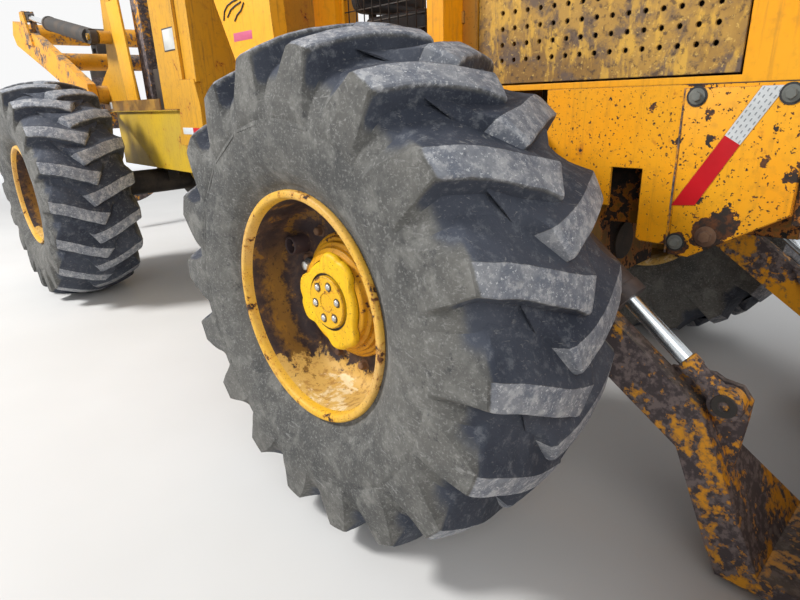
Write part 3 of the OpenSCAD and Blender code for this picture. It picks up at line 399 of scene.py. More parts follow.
# wheel paint: rusty streaks run round the barrel, and it is paler towards the bottom and darker towards the
# top
def barrelFinish():
    f = Finish("barrelRust")
    low = f.attribute("low")
    depth = f.attribute("depth")
    high = f.attribute("high")
    patch = f.noise(13, 8, 0.70, wave=0.3)
    fine = f.noise(46, 6, 0.66)
    speck = f.noise(95, 4, 0.6, shift=1.4)
    # a band of worn paint runs round the barrel, ragged along its sides
    band = (depth + (patch - 0.5) * 0.9).step(0.40, 0.52) * (depth + (fine - 0.5) * 0.6).step(0.92, 0.70)
    color = f.mix(patch.step(0.42, 0.58), (0.036, 0.023, 0.024), (0.082, 0.046, 0.032))
    color = f.mix(patch.step(0.555, 0.59) * 0.8, color, (0.24, 0.115, 0.020))
    color = f.mix(band * (1.0 - high) * 0.6, color, (0.34, 0.170, 0.020))
    color = f.mix(fine.step(0.57, 0.66) * 0.75, color, (0.030, 0.018, 0.016))
    pale = (low + (patch - 0.5) * 1.9).step(0.58, 0.68)
    color = f.mix(pale, color, (0.62, 0.385, 0.10))
    color = f.mix(pale * fine.step(0.50, 0.62) * 0.7, color, (0.34, 0.165, 0.035))
    color = f.mix(pale * (low + (patch - 0.5) * 2.0).step(0.95, 1.10) * 0.8, color, (0.80, 0.66, 0.40))
    color = f.mix(speck.step(0.62, 0.70) * 0.6, color, (0.022, 0.014, 0.013))
    return f.done(color, (0.42 + fine * 0.4).clamp(), None, f.bump(patch * 0.6 + fine * 0.5, 0.0022, 0.9),
                  Specular_IOR_Level=0.35)


def hubFinish(name, paint, faded, bareFrom):
    return weatheredPaint(name, orange | {
        "paint": paint, "paintFaded": faded, "bareFrom": bareFrom, "patchScale": 15, "fleckFrom": 0.655,
        "grime": (0.42, 0.19, 0.02), "stain": (0.50, 0.17, 0.01), "rust": (0.13, 0.05, 0.018),
        "primer": (0.04, 0.024, 0.018), "streaks": 0.4, "edgeWear": 0.20, "dust": 0.0})


finishDoor = doorPaint()
finishCover = hubFinish("coverPaint", (0.82, 0.46, 0.006), (0.70, 0.34, 0.008), 0.575)
finishGuard = darkSteel("valveGuard", (0.036, 0.022, 0.024), (0.075, 0.042, 0.038), 0.5)
finishSteel = darkSteel("greasySteel", (0.028, 0.024, 0.021), (0.065, 0.046, 0.032))
finishIron = darkSteel("oilyIron", (0.022, 0.018, 0.015), (0.060, 0.046, 0.034), 0.5)
finishArmSteel = darkSteel("armSteel", (0.040, 0.031, 0.030), (0.085, 0.062, 0.054), 0.42)
finishRubber = rubberFinish()
finishBolt = darkSteel("zincBolt", (0.13, 0.135, 0.12), (0.24, 0.235, 0.20), 0.35, (0.10, 0.06, 0.03))
finishRustBolt = darkSteel("rustyBolt", (0.10, 0.050, 0.030), (0.20, 0.11, 0.06), 0.6)
finishSilver = plainFinish("brightBolt", (0.62, 0.62, 0.60), 0.22, 0.9, 90)
finishChrome = plainFinish("chromeRod", (0.62, 0.66, 0.69), 0.14, 0.95, 60, 0.0002, 0.85)
finishSeat = plainFinish("seatVinyl", (0.022, 0.022, 0.024), 0.45, grainSize=160)
finishBlack = plainFinish("blackPlastic", (0.018, 0.018, 0.018), 0.5, grainSize=90)
finishSoot = plainFinish("sootySteel", (0.070, 0.045, 0.032), 0.7, grainSize=60, depth=0.001, spread=0.4)
finishWhiteTape = plainFinish("whiteTape", (0.62, 0.64, 0.64), 0.3, 0.0, 70, spread=0.82)
finishGreyDash = plainFinish("greyDash", (0.30, 0.32, 0.33), 0.3, 0.0, 70)
finishRedTape = plainFinish("redTape", (0.52, 0.006, 0.012), 0.3, 0.0, 70, spread=0.88)
finishLabel = plainFinish("paleLabel", (0.60, 0.60, 0.57), 0.4, 0.0, 50)
finishPink = plainFinish("pinkLabel", (0.62, 0.10, 0.20), 0.4, 0.0, 40)
finishGlass = plainFinish("lampGlass", (0.75, 0.76, 0.74), 0.08, 0.1, 60)
finishBarrel = barrelFinish()
finishLip = hubFinish("lipPaint", (0.74, 0.41, 0.020), (0.62, 0.38, 0.13), 0.58)
finishHub = hubFinish("hubPaint", (0.86, 0.52, 0.004), (0.80, 0.42, 0.008), 0.655)
finishDrum = hubFinish("drumPaint", (0.76, 0.38, 0.004), (0.60, 0.22, 0.006), 0.60)
print("finishes mixed")


def paintNodes():
    wanted = {
        "front_frame": paintFrameGrimeAndShade, "frame_brackets": paintFrameGrimeAndShade, "hood": paintMachine,
        "side_panels": paintPanel, "cab_frame": paintMachine, "cab_roof": paintMachine,
        "cab_guards": paintMachine, "seat": finishSeat,
        "rear_legs": paintLeg, "engine_door_right": finishDoor, "engine_door_left": finishDoor,
        "rear_frame": paintBody, "tower": paintTowerShaded, "blade": paintArm, "boom": paintPeeled,
        "tong_right": paintArm, "tong_left": paintArm, "grapple_head": paintArm,
        "blade_barrels": finishArmSteel, "exhaust": finishSoot,
        "front_axle": finishIron, "rear_axle": finishIron, "engine_block": finishIron,
        "boom_rods": rodFinish("boomRod", "boom_rods", 0.145),
        "steer_rod_right": rodFinish("steerRodRight", "steer_rod_right", 0.14),
        "steer_rod_left": rodFinish("steerRodLeft", "steer_rod_left", 0.14),
        "tong_rod": plainFinish("tongRod", (0.70, 0.71, 0.72), 0.2, 0.9),
    }
    for name, node in nodes.items():
        node.data.materials.clear()
        node.data.materials.append(wanted.get(name, finishSteel))


paintNodes()
print("nodes painted")


# collects plates, turned shapes and tubes into one mesh, each with its own finish
class Shape:
    def __init__(self):
        self.work = bmesh.new()
        self.finishes = []

    def mark(self, faces, finish):
        if finish not in self.finishes:
            self.finishes.append(finish)
        for face in faces:
            face.material_index = self.finishes.index(finish)

    # a flat plate from an outline; across is the axis it is thick along, and bevel rounds its edges
    def plate(self, outline, across, low, high, finish, bevel=0.0):
        order = {"y": lambda a, b, c: (a, c, b), "z": lambda a, b, c: (a, b, c)}
        place = order[across]
        sides = [[self.work.verts.new(place(a, b, level)) for a, b in outline] for level in (low, high)]
        count = len(outline)
        faces = [self.work.faces.new(sides[0]), self.work.faces.new(sides[1])]
        for i in range(count):
            k = (i + 1) % count
            faces.append(self.work.faces.new((sides[0][i], sides[0][k], sides[1][k], sides[1][i])))
        self.mark(faces, finish)
        if bevel:
            edges = list({e for f in faces for e in f.edges})
            bmesh.ops.bevel(self.work, geom=edges, offset=bevel, segments=2, profile=0.5, affect="EDGES",
                            material=self.finishes.index(finish))

    def box(self, low, high, finish, bevel=0.0):
        self.plate([(low[0], low[1]), (high[0], low[1]), (high[0], high[1]), (low[0], high[1])],
                   "z", low[2], high[2], finish, bevel)

    # a ring of points round a place, at a distance along the direction that the turn gives
    def ring(self, at, turn, radius, out, steps):
        angles = [2 * math.pi * k / steps for k in range(steps)]
        points = [Vector((radius * math.cos(a), radius * math.sin(a), out)) for a in angles]
        return [self.work.verts.new(at + turn @ p) for p in points]

    # faces from ring to ring, with the first and the last ring shut or open
    def skin(self, rings, finish, shut=True):
        faces = [self.work.faces.new(rings[0]), self.work.faces.new(rings[-1])] if shut else []
        steps = len(rings[0])
        for first, second in zip(rings, rings[1:]):
            for k in range(steps):
                n = (k + 1) % steps
                faces.append(self.work.faces.new((first[k], first[n], second[n], second[k])))
        self.mark(faces, finish)

    # a round form from radius and distance along a direction
    def turned(self, section, at, direction, steps, finish):
        turn = Vector(direction).to_track_quat("Z", "Y").to_matrix()
        self.skin([self.ring(Vector(at), turn, radius, out, steps) for radius, out in section], finish)

    # a round bar along a path of points
    def tube(self, path, radius, steps, finish):
        points = [Vector(p) for p in path]
        rings = []
        for i, point in enumerate(points):
            ahead = (points[min(i + 1, len(points) - 1)] - points[max(i - 1, 0)]).normalized()
            rings.append(self.ring(point, ahead.to_track_quat("Z", "Y").to_matrix(), radius, 0, steps))
        self.skin(rings, finish)

    # what was drawn for the right side is drawn on the left side as well
    def bothSides(self):
        drawn = self.work.verts[:] + self.work.edges[:] + self.work.faces[:]
        made = bmesh.ops.duplicate(self.work, geom=drawn)
        for part in made["geom"]:
            if isinstance(part, bmesh.types.BMVert):
                part.co.y = -part.co.y
        return self

    def mesh(self, name, angle=35):
        bmesh.ops.recalc_face_normals(self.work, faces=self.work.faces[:])
        mesh = bpy.data.meshes.new(name)
        self.work.to_mesh(mesh)
        self.work.free()
        for finish in self.finishes:
            mesh.materials.append(finish)
        mesh.polygons.foreach_set("use_smooth", [True] * len(mesh.polygons))
        mesh.set_sharp_from_angle(angle=math.radians(angle))
        return mesh

    def piece(self, name, body, slot, replaced=(), angle=35):
        return placePiece(self.mesh(name, angle), name, body, replaced)


def placePiece(mesh, name, body, replaced=()):
    made = bpy.data.objects.new(name, mesh)
    bpy.context.scene.collection.objects.link(made)
    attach(made, body)
    if replaced:
        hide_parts(*replaced)
    return made


# a Geometry Nodes tree from its inputs, its nodes with their settings and fixed inputs, and its links
def makeTree(name, inputs, parts, links):
    tree = bpy.data.node_groups.new(name, "GeometryNodeTree")
    tree.interface.new_socket("Result", in_out="OUTPUT", socket_type="NodeSocketGeometry")
    for label, kind in inputs.items():
        tree.interface.new_socket(label, in_out="INPUT", socket_type="NodeSocket" + kind)
    made = {"start": tree.nodes.new("NodeGroupInput"), "end": tree.nodes.new("NodeGroupOutput")}
    for label, (kind, settings, values) in parts.items():
        made[label] = tree.nodes.new(kind)
        for key, value in settings.items():
            setattr(made[label], key, value)
        for key, value in values.items():
            made[label].inputs[key].default_value = value
    for first, output, second, target in links:
        tree.links.new(made[first].outputs[output], made[second].inputs[target])
    return tree


# repeats a segment round the Y axis, joins the seams and makes the surface a little uneven
repeatRound = makeTree("repeatRound", {
    "Segment": "Geometry", "Count": "Int", "Step": "Float", "Wobble": "Float", "Finish": "Material",
}, {
    "points": ("GeometryNodePoints", {}, {}),
    "index": ("GeometryNodeInputIndex", {}, {}),
    "turn": ("ShaderNodeMath", {"operation": "MULTIPLY"}, {}),
    "angles": ("ShaderNodeCombineXYZ", {}, {}),
    "place": ("GeometryNodeInstanceOnPoints", {}, {}),
    "real": ("GeometryNodeRealizeInstances", {}, {}),
    "merge": ("GeometryNodeMergeByDistance", {}, {"Distance": 0.00002}),
    "where": ("GeometryNodeInputPosition", {}, {}),
    "noise": ("ShaderNodeTexNoise", {}, {"Scale": 11.0, "Detail": 4.0}),
    "center": ("ShaderNodeVectorMath", {"operation": "SUBTRACT"}, {1: (0.5, 0.5, 0.5)}),
    "scale": ("ShaderNodeVectorMath", {"operation": "SCALE"}, {}),
    "move": ("GeometryNodeSetPosition", {}, {}),
    "paint": ("GeometryNodeSetMaterial", {}, {}),
}, [
    ("start", "Count", "points", "Count"), ("index", 0, "turn", 0), ("start", "Step", "turn", 1),
    ("turn", 0, "angles", "Y"), ("points", 0, "place", "Points"), ("start", "Segment", "place", "Instance"),
    ("angles", 0, "place", "Rotation"), ("place", 0, "real", 0), ("real", 0, "merge", "Geometry"),
    ("where", 0, "noise", "Vector"), ("noise", "Color", "center", 0), ("center", 0, "scale", 0),
    ("start", "Wobble", "scale", "Scale"), ("merge", 0, "move", "Geometry"), ("scale", 0, "move", "Offset"),
    ("move", 0, "paint", "Geometry"), ("start", "Finish", "paint", "Material"), ("paint", 0, "end", 0),
])

# hexagon bolts on washers at the points of a mesh, each turned by a seeded random angle
boltsAtPoints = makeTree("boltsAtPoints", {
    "Places": "Geometry", "Head": "Float", "Height": "Float", "Washer": "Float", "Facing": "Rotation",
    "Finish": "Material",
}, {
    "head": ("GeometryNodeMeshCylinder", {}, {"Vertices": 6}),
    "washer": ("GeometryNodeMeshCylinder", {}, {"Vertices": 24, "Depth": 0.005}),
    "lift": ("GeometryNodeTransform", {}, {}),
    "half": ("ShaderNodeMath", {"operation": "MULTIPLY"}, {1: 0.5}),
    "up": ("ShaderNodeCombineXYZ", {}, {}),
    "bolt": ("GeometryNodeJoinGeometry", {}, {}),
    "place": ("GeometryNodeInstanceOnPoints", {}, {}),
    "spin": ("FunctionNodeRandomValue", {"data_type": "FLOAT"}, {"Seed": 7, 3: 6.28}),
    "around": ("ShaderNodeCombineXYZ", {}, {}),
    "turn": ("GeometryNodeRotateInstances", {}, {}),
    "real": ("GeometryNodeRealizeInstances", {}, {}),
    "paint": ("GeometryNodeSetMaterial", {}, {}),
}, [
    ("start", "Head", "head", "Radius"), ("start", "Height", "head", "Depth"),
    ("start", "Washer", "washer", "Radius"), ("start", "Height", "half", 0), ("half", 0, "up", "Z"),
    ("head", "Mesh", "lift", "Geometry"), ("up", 0, "lift", "Translation"), ("lift", 0, "bolt", 0),
    ("washer", "Mesh", "bolt", 0), ("start", "Places", "place", "Points"), ("bolt", 0, "place", "Instance"),
    ("start", "Facing", "place", "Rotation"), ("spin", 1, "around", "Z"), ("place", 0, "turn", "Instances"),
    ("around", 0, "turn", "Rotation"), ("turn", 0, "real", 0), ("real", 0, "paint", "Geometry"),
    ("start", "Finish", "paint", "Material"), ("paint", 0, "end", 0),
])

# wires of one length and radius, each with its middle at a point of a mesh
wireRow = makeTree("wireRow", {
    "Places": "Geometry", "Length": "Float", "Radius": "Float", "Facing": "Rotation", "Finish": "Material",
}, {
    "wire": ("GeometryNodeMeshCylinder", {}, {"Vertices": 6}),
    "place": ("GeometryNodeInstanceOnPoints", {}, {}),
    "real": ("GeometryNodeRealizeInstances", {}, {}),
    "smooth": ("GeometryNodeSetShadeSmooth", {}, {}),
    "paint": ("GeometryNodeSetMaterial", {}, {}),
}, [
    ("start", "Radius", "wire", "Radius"), ("start", "Length", "wire", "Depth"),
    ("start", "Places", "place", "Points"), ("wire", "Mesh", "place", "Instance"),
    ("start", "Facing", "place", "Rotation"), ("place", 0, "real", 0), ("real", 0, "smooth", "Geometry"),
    ("smooth", 0, "paint", "Geometry"), ("start", "Finish", "paint", "Material"), ("paint", 0, "end", 0),
])


def socketKey(tree, name):
    return next(s.identifier for s in tree.interface.items_tree if s.name == name and s.in_out == "INPUT")


# runs a Geometry Nodes tree on an object and gives a new plain mesh
def applyTree(source, tree, values, name):
    modifier = source.modifiers.new("nodes", "NODES")
    modifier.node_group = tree
    for key, value in values.items():
        modifier[socketKey(tree, key)] = value
    bpy.context.view_layer.update()
    graph = bpy.context.evaluated_depsgraph_get()
    result = source.evaluated_get(graph)
    mesh = bpy.data.meshes.new_from_object(result, preserve_all_data_layers=True, depsgraph=graph)
    mesh.name = name
    source.modifiers.remove(modifier)
    old = source.data
    bpy.data.objects.remove(source)
    bpy.data.meshes.remove(old)
    return mesh


def pointsObject(name, places):
    mesh = bpy.data.meshes.new(name)
    mesh.from_pydata([tuple(p) for p in places], [], [])
    made = bpy.data.objects.new(name, mesh)
    bpy.context.scene.collection.objects.link(made)
    return made


# the turn that brings the Z axis onto a direction, as Euler angles
def turnTo(direction):
    return tuple(Vector(direction).to_track_quat("Z", "Y").to_euler())


def bolts(name, places, direction, set, body):
    mesh = applyTree(pointsObject(name, places), boltsAtPoints,
                     {"Head": set["head"], "Height": set["height"], "Washer": set["washer"],
                      "Facing": turnTo(direction), "Finish": set["finish"]}, name)
    placePiece(mesh, name, body)


# the worn tread: sizes in metres, distances out from the tyre's middle plane
tyre = {
    "lugs": 18,
    "radius": 0.7735,
    "crownFall": 0.060,
    "shoulder": 0.2785,
    # carcass from the middle plane to the bead: distance out and radius
    "carcass": [
        (0.0000, 0.7230), (0.0600, 0.7215), (0.1100, 0.7155), (0.1550, 0.7050), (0.1900, 0.6920),
        (0.2180, 0.6750), (0.2420, 0.6530), (0.2590, 0.6270), (0.2720, 0.5990), (0.2815, 0.5700),
        (0.2868, 0.5400), (0.2885, 0.5080), (0.2868, 0.4720), (0.2800, 0.4380), (0.2690, 0.4080),
        (0.2560, 0.3840), (0.2450, 0.3700), (0.2372, 0.3600), (0.2356, 0.3480), (0.2356, 0.3320)],
    # rings moulded on the sidewall: radius, width and height
    "rings": ((0.404, 0.005, 0.0030), (0.432, 0.004, 0.0018), (0.470, 0.003, 0.0010)),
    # a lug's middle line over the tread: distance out and how far it lags round the tyre
    "line": [(-0.080, 0.132), (-0.040, 0.120), (0.000, 0.108), (0.040, 0.093), (0.080, 0.078),
             (0.120, 0.060), (0.160, 0.043), (0.200, 0.027), (0.240, 0.015), (0.280, 0.000)],
    # a tread lug from its inner end to the shoulder, with its rows, half width and flanks
    "innerEnd": -0.052,
    "outerEnd": 0.268,
    "lugRows": 30,
    "endDrop": 0.060,
    "endSlant": 0.55,
    "halfTop": 0.040,
    "gentle": 0.130,
    "steep": 0.022,
    # the shoulder facet down the sidewall: distance out, radius, half width above and below, gentle flank
    "facet": [
        (0.2800, 0.7080, 0.042, 0.040, 0.105), (0.2825, 0.6820, 0.056, 0.043, 0.085),
        (0.2850, 0.6550, 0.072, 0.047, 0.066), (0.2872, 0.6280, 0.088, 0.052, 0.050),
        (0.2890, 0.6020, 0.104, 0.057, 0.038), (0.2902, 0.5800, 0.114, 0.062, 0.028),
        (0.2900, 0.5600, 0.120, 0.066, 0.022), (0.2880, 0.5420, 0.124, 0.068, 0.018),
        (0.2800, 0.5300, 0.124, 0.068, 0.016)],
    "wobble": 0.009,
}


def smooth(t):
    t = np.clip(t, 0, 1)
    return t * t * (3 - 2 * t)


def crownRadius(out, set):
    return set["radius"] - set["crownFall"] * (out / set["shoulder"]) ** 2


# the carcass where a lug's foot stands: a little inside the surface, below a point of the lug's top
def carcassFoot(out, radius, set):
    section = np.array(set["carcass"])
    curve = np.column_stack([np.interp(np.linspace(0, 1, 200), np.linspace(0, 1, len(section)), section[:, k])
                             for k in (0, 1)])
    center = np.array([0.0, 0.45])
    way = np.array([abs(out), radius]) - center
    way /= np.linalg.norm(way)
    rays = curve - center
    turn = np.abs(rays[:, 0] * way[1] - rays[:, 1] * way[0])
    foot = curve[np.argmin(turn)]
    return math.copysign(foot[0], out) if abs(out) > 1e-6 else 0.0, foot[1]


# one lug as a closed shell: rows along its length, each with points from its upper to its lower foot
def lugShell(set):
    line = np.array(set["line"])
    rows = []
    for out in np.linspace(set["innerEnd"] - 0.016, set["outerEnd"], set["lugRows"]):
        near = smooth((set["innerEnd"] + 0.012 - out) / 0.022)
        rows.append({
            "out": out, "radius": crownRadius(out, set) - set["endDrop"] * near,
            "lag": np.interp(out, line[:, 0], line[:, 1]), "slant": smooth((0.045 - out) / 0.10),
            "up": set["halfTop"], "low": set["halfTop"], "gentle": set["gentle"], "tread": 1.0})
    for out, radius, up, low, gentle in set["facet"]:
        rows.append({"out": out, "radius": radius, "lag": 0.0, "slant": 0.0, "up": up, "low": low,
                     "gentle": gentle, "tread": 0.0})
    rise = np.linspace(0, 1, 8)
    points, band, deep = [], [], []
    for row in rows:
        footOut, footRadius = carcassFoot(row["out"], row["radius"], set)
        up, low, gentle = row["up"], row["low"], row["gentle"]
        # painted shade stays on the flank of a tread lug almost up to its edge, and fades out up a shoulder
        # facet to the dusty sidewall colour
        fade = 0.35 if row["tread"] else 1.0
        # each point: place along the tyre, height as a share of the lug, how much it is top, and how much
        # painted groove shade it takes
        profile = [(up + gentle * (1 - t), t ** 1.9 * 0.985 if t else -0.12, 0.0, 1 - fade * t) for t in rise]
        profile += [(up - 0.004, 1.0, 1.0, 0.0), (up * 0.3 - low * 0.1, 1.0, 1.0, 0.0),
                    (up * 0.1 - low * 0.5, 1.0, 1.0, 0.0), (0.0035 - low, 0.995, 1.0, 0.0),
                    (-low - 0.0015, 0.93, 0.6, 0.1)]
        profile += [(-low - set["steep"] * t, 0.93 * (1 - t), 0.0, 0.6 + 0.4 * t) for t in (0.35, 0.7, 1.0)]
        profile += [(-low - set["steep"] - 0.004, -0.14, 0.0, 1.0)]
        for along, height, top, dark in profile:
            out = row["out"] - set["endSlant"] * along * row["slant"]
            base = footOut - set["endSlant"] * along * row["slant"]
            side = base + (out - base) * height
            radius = footRadius + (row["radius"] - footRadius) * height
            angle = (along - row["lag"]) / set["radius"]
            points.append((radius * math.cos(angle), side, radius * math.sin(angle)))
            band.append(top * row["tread"])
            deep.append(dark * smooth((radius - 0.60) / 0.06))
    width = len(profile)
    faces = []
    for i in range(len(rows) - 1):
        for j in range(width):
            k = (j + 1) % width
            faces.append((i * width + j, i * width + k, (i + 1) * width + k, (i + 1) * width + j))
    faces.append(tuple(range(width)))
    faces.append(tuple((len(rows) - 1) * width + j for j in reversed(range(width))))
    return np.array(points), faces, band, deep


def tyreMesh(name, set):
    pitch = 2 * math.pi / set["lugs"]
    shell, shellFaces, band, deep = lugShell(set)
    points, faces, bands, grooveShades = [], [], [], []

    def include(newPoints, newFaces, newBand, newGrooveShade):
        first = len(points)
        points.extend(map(tuple, newPoints))
        faces.extend(tuple(first + k for k in face) for face in newFaces)
        bands.extend(newBand)
        grooveShades.extend(newGrooveShade)

    include(shell, shellFaces, band, deep)
    # the inner row is the mirror of the outer one, half a pitch on
    turn = pitch / 2
    mirror = np.column_stack([shell[:, 0] * math.cos(turn) - shell[:, 2] * math.sin(turn), -shell[:, 1],
                              shell[:, 0] * math.sin(turn) + shell[:, 2] * math.cos(turn)])
    include(mirror, [face[::-1] for face in shellFaces], band, deep)
    # a slice of the carcass, rounded between the section's points, with rings on the sidewall
    section = np.array(set["carcass"])
    fine = np.linspace(0, len(section) - 1, 58)
    half = np.column_stack([np.interp(fine, range(len(section)), section[:, k]) for k in (0, 1)])
    for _ in range(2):
        half[1:-1] = half[1:-1] * 0.5 + (half[:-2] + half[2:]) * 0.25
    for radius, width, lift in set["rings"]:
        half[:, 0] += lift * np.exp(-((half[:, 1] - radius) / width) ** 2)
    full = np.vstack([half[:0:-1] * [-1, 1], half])
    steps = 6
    # the carcass between the lugs takes painted groove shade near the tread, fading out down the sidewall
    carcass, dark = [], []
    for i in range(steps):
        angle = pitch * i / (steps - 1)
        for out, radius in full:
            carcass.append((radius * math.cos(angle), out, radius * math.sin(angle)))
            dark.append(smooth((radius - 0.61) / 0.07))
    columns = len(full)
    carcassFaces = []
    for i in range(steps - 1):
        here, ahead = i * columns, (i + 1) * columns
        for j in range(columns):
            k = (j + 1) % columns
            carcassFaces.append((here + j, ahead + j, ahead + k, here + k))
    include(carcass, carcassFaces, [0.0] * len(carcass), dark)
    mesh = bpy.data.meshes.new(name + "Wedge")
    mesh.from_pydata(points, [], faces)
    putAttributes(mesh, {"band": bands, "deep": grooveShades})
    wedge = bpy.data.objects.new(name + "Wedge", mesh)
    bpy.context.scene.collection.objects.link(wedge)
    ring = applyTree(wedge, repeatRound, {"Count": set["lugs"], "Step": -pitch, "Wobble": set["wobble"],
                                          "Finish": finishRubber}, name)
    work = bmesh.new()
    work.from_mesh(ring)
    bmesh.ops.recalc_face_normals(work, faces=work.faces[:])
    work.to_mesh(ring)
    work.free()
    ring.polygons.foreach_set("use_smooth", [True] * len(ring.polygons))
    ring.set_sharp_from_angle(angle=math.radians(30))
    return ring


# a copy of a mesh at each wheel, in its node's place: it is made for the left, and the right is its mirror
def placeAtWheels(mesh, name, node):
    for corner in ("front_right", "front_left", "rear_right", "rear_left"):
        copy = mesh.copy()
        copy.name = name + corner
        place = Matrix.Translation(middle(node + corner))
        if corner.endswith("left"):
            copy.transform(place)
        else:
            copy.transform(place @ Matrix.Diagonal((1, -1, 1, 1)))
            copy.flip_normals()
        placePiece(copy, name + corner, "wheel_" + corner, (node + corner,))


# numbers of a mesh's points, by name, for its finish to read
def putAttributes(mesh, columns):
    for name, numbers in columns.items():
        place = mesh.attributes.new(name, "FLOAT", "POINT")
        place.data.foreach_set("value", np.asarray(numbers, np.float32))


placeAtWheels(tyreMesh("tyreShape", tyre), "tyreWorn_", "tyre_")
print("tyres made")

# wheel: radius and distance out from the tyre's middle plane
wheel = {
    "lip": [
        (0.3210, 0.2260), (0.3235, 0.2400), (0.3270, 0.2490), (0.3305, 0.2528), (0.3340, 0.2536),
        (0.3430, 0.2536), (0.3465, 0.2528), (0.3490, 0.2500), (0.3500, 0.2440), (0.3505, 0.2372),
        (0.3400, 0.2364), (0.3300, 0.2330)],
    "dish": [
        (0.3210, 0.2260), (0.3195, 0.2200), (0.3180, 0.1700), (0.3175, 0.1100), (0.3120, 0.0860),
        (0.2980, 0.0660), (0.2800, 0.0580), (0.2500, 0.0560), (0.2020, 0.0560)],
    # ridges step up round the drum to the plate
    "drum": [
        (0.2020, 0.0560), (0.2010, 0.0740), (0.1990, 0.0765), (0.1930, 0.0775), (0.1900, 0.0790),
        (0.1900, 0.0880), (0.1880, 0.0900), (0.1790, 0.0905), (0.1765, 0.0925), (0.1760, 0.1020),
        (0.1730, 0.1045), (0.1640, 0.1050), (0.1615, 0.1075), (0.1610, 0.1180), (0.1580, 0.1205),
        (0.1500, 0.1215), (0.1475, 0.1240), (0.1465, 0.1350), (0.1430, 0.1385), (0.1290, 0.1400)],
    # the inner side, from the disc's edge to the rim and back under the lip
    "back": [
        (0.2980, 0.0360), (0.3180, 0.0260), (0.3180, -0.2260), (0.3205, -0.2360), (0.3320, -0.2500),
        (0.3430, -0.2535), (0.3540, -0.2470), (0.3550, -0.2372), (0.3330, -0.2364), (0.3300, -0.2330),
        (0.3300, 0.2330)],
    "plateBase": 0.1370,
    "plateTop": 0.1560,
    "plateFillet": 0.014,
    "plateRadius": 0.124,
    "lobeReach": 0.030,
    # each of the three lobes has two blunt corners close together
    "lobeWidth": 0.34,
    "lobes": (54, 82, 170, 202, 284, 312),
    "coverRadius": 0.083,
    "coverTop": 0.1638,
    # small turned parts: how many, first angle, radius of their circle, distance out, section, sides, finish
    "fittings": [
        # plugs round the cover, each in a dark ring
        (6, 12, 0.056, 0.1628, [(0.0140, 0), (0.0140, 0.0018)], 14, finishBlack),
        (6, 12, 0.056, 0.1628, [(0.0105, 0), (0.0105, 0.004), (0.0080, 0.007), (0.0030, 0.0085)], 12,
         finishSilver),
        # a bright plug in a black collar beside the plate
        (1, 150, 0.166, 0.100, [(0.024, 0), (0.024, 0.018), (0.021, 0.021)], 16, finishBlack),
        (1, 150, 0.166, 0.100, [(0.017, 0.018), (0.017, 0.030), (0.014, 0.036), (0.006, 0.038)], 16,
         finishSilver),
        # the valve guard is an open tube on the disc, with the valve's stem inside
        (1, 152, 0.276, 0.050, [(0.024, 0.012), (0.024, 0.068), (0.0265, 0.070), (0.0295, 0.069),
                                (0.031, 0.066), (0.031, 0.0)], 24, finishGuard),
        (1, 152, 0.276, 0.050, [(0.007, 0.010), (0.007, 0.052), (0.0045, 0.058)], 12, finishRustBolt),
        # wheel nuts stand round the drum on the disc
        (12, 9, 0.236, 0.0555, [(0.021, 0), (0.021, 0.003), (0.0145, 0.004), (0.0145, 0.020),
                                (0.0105, 0.024)], 6, finishRustBolt),
    ],
}


def lobedRadius(angle, set):
    nearest = min(abs((angle - math.radians(a) + math.pi) % (2 * math.pi) - math.pi) for a in set["lobes"])
    return set["plateRadius"] + set["lobeReach"] * math.exp(-(nearest / set["lobeWidth"]) ** 4)


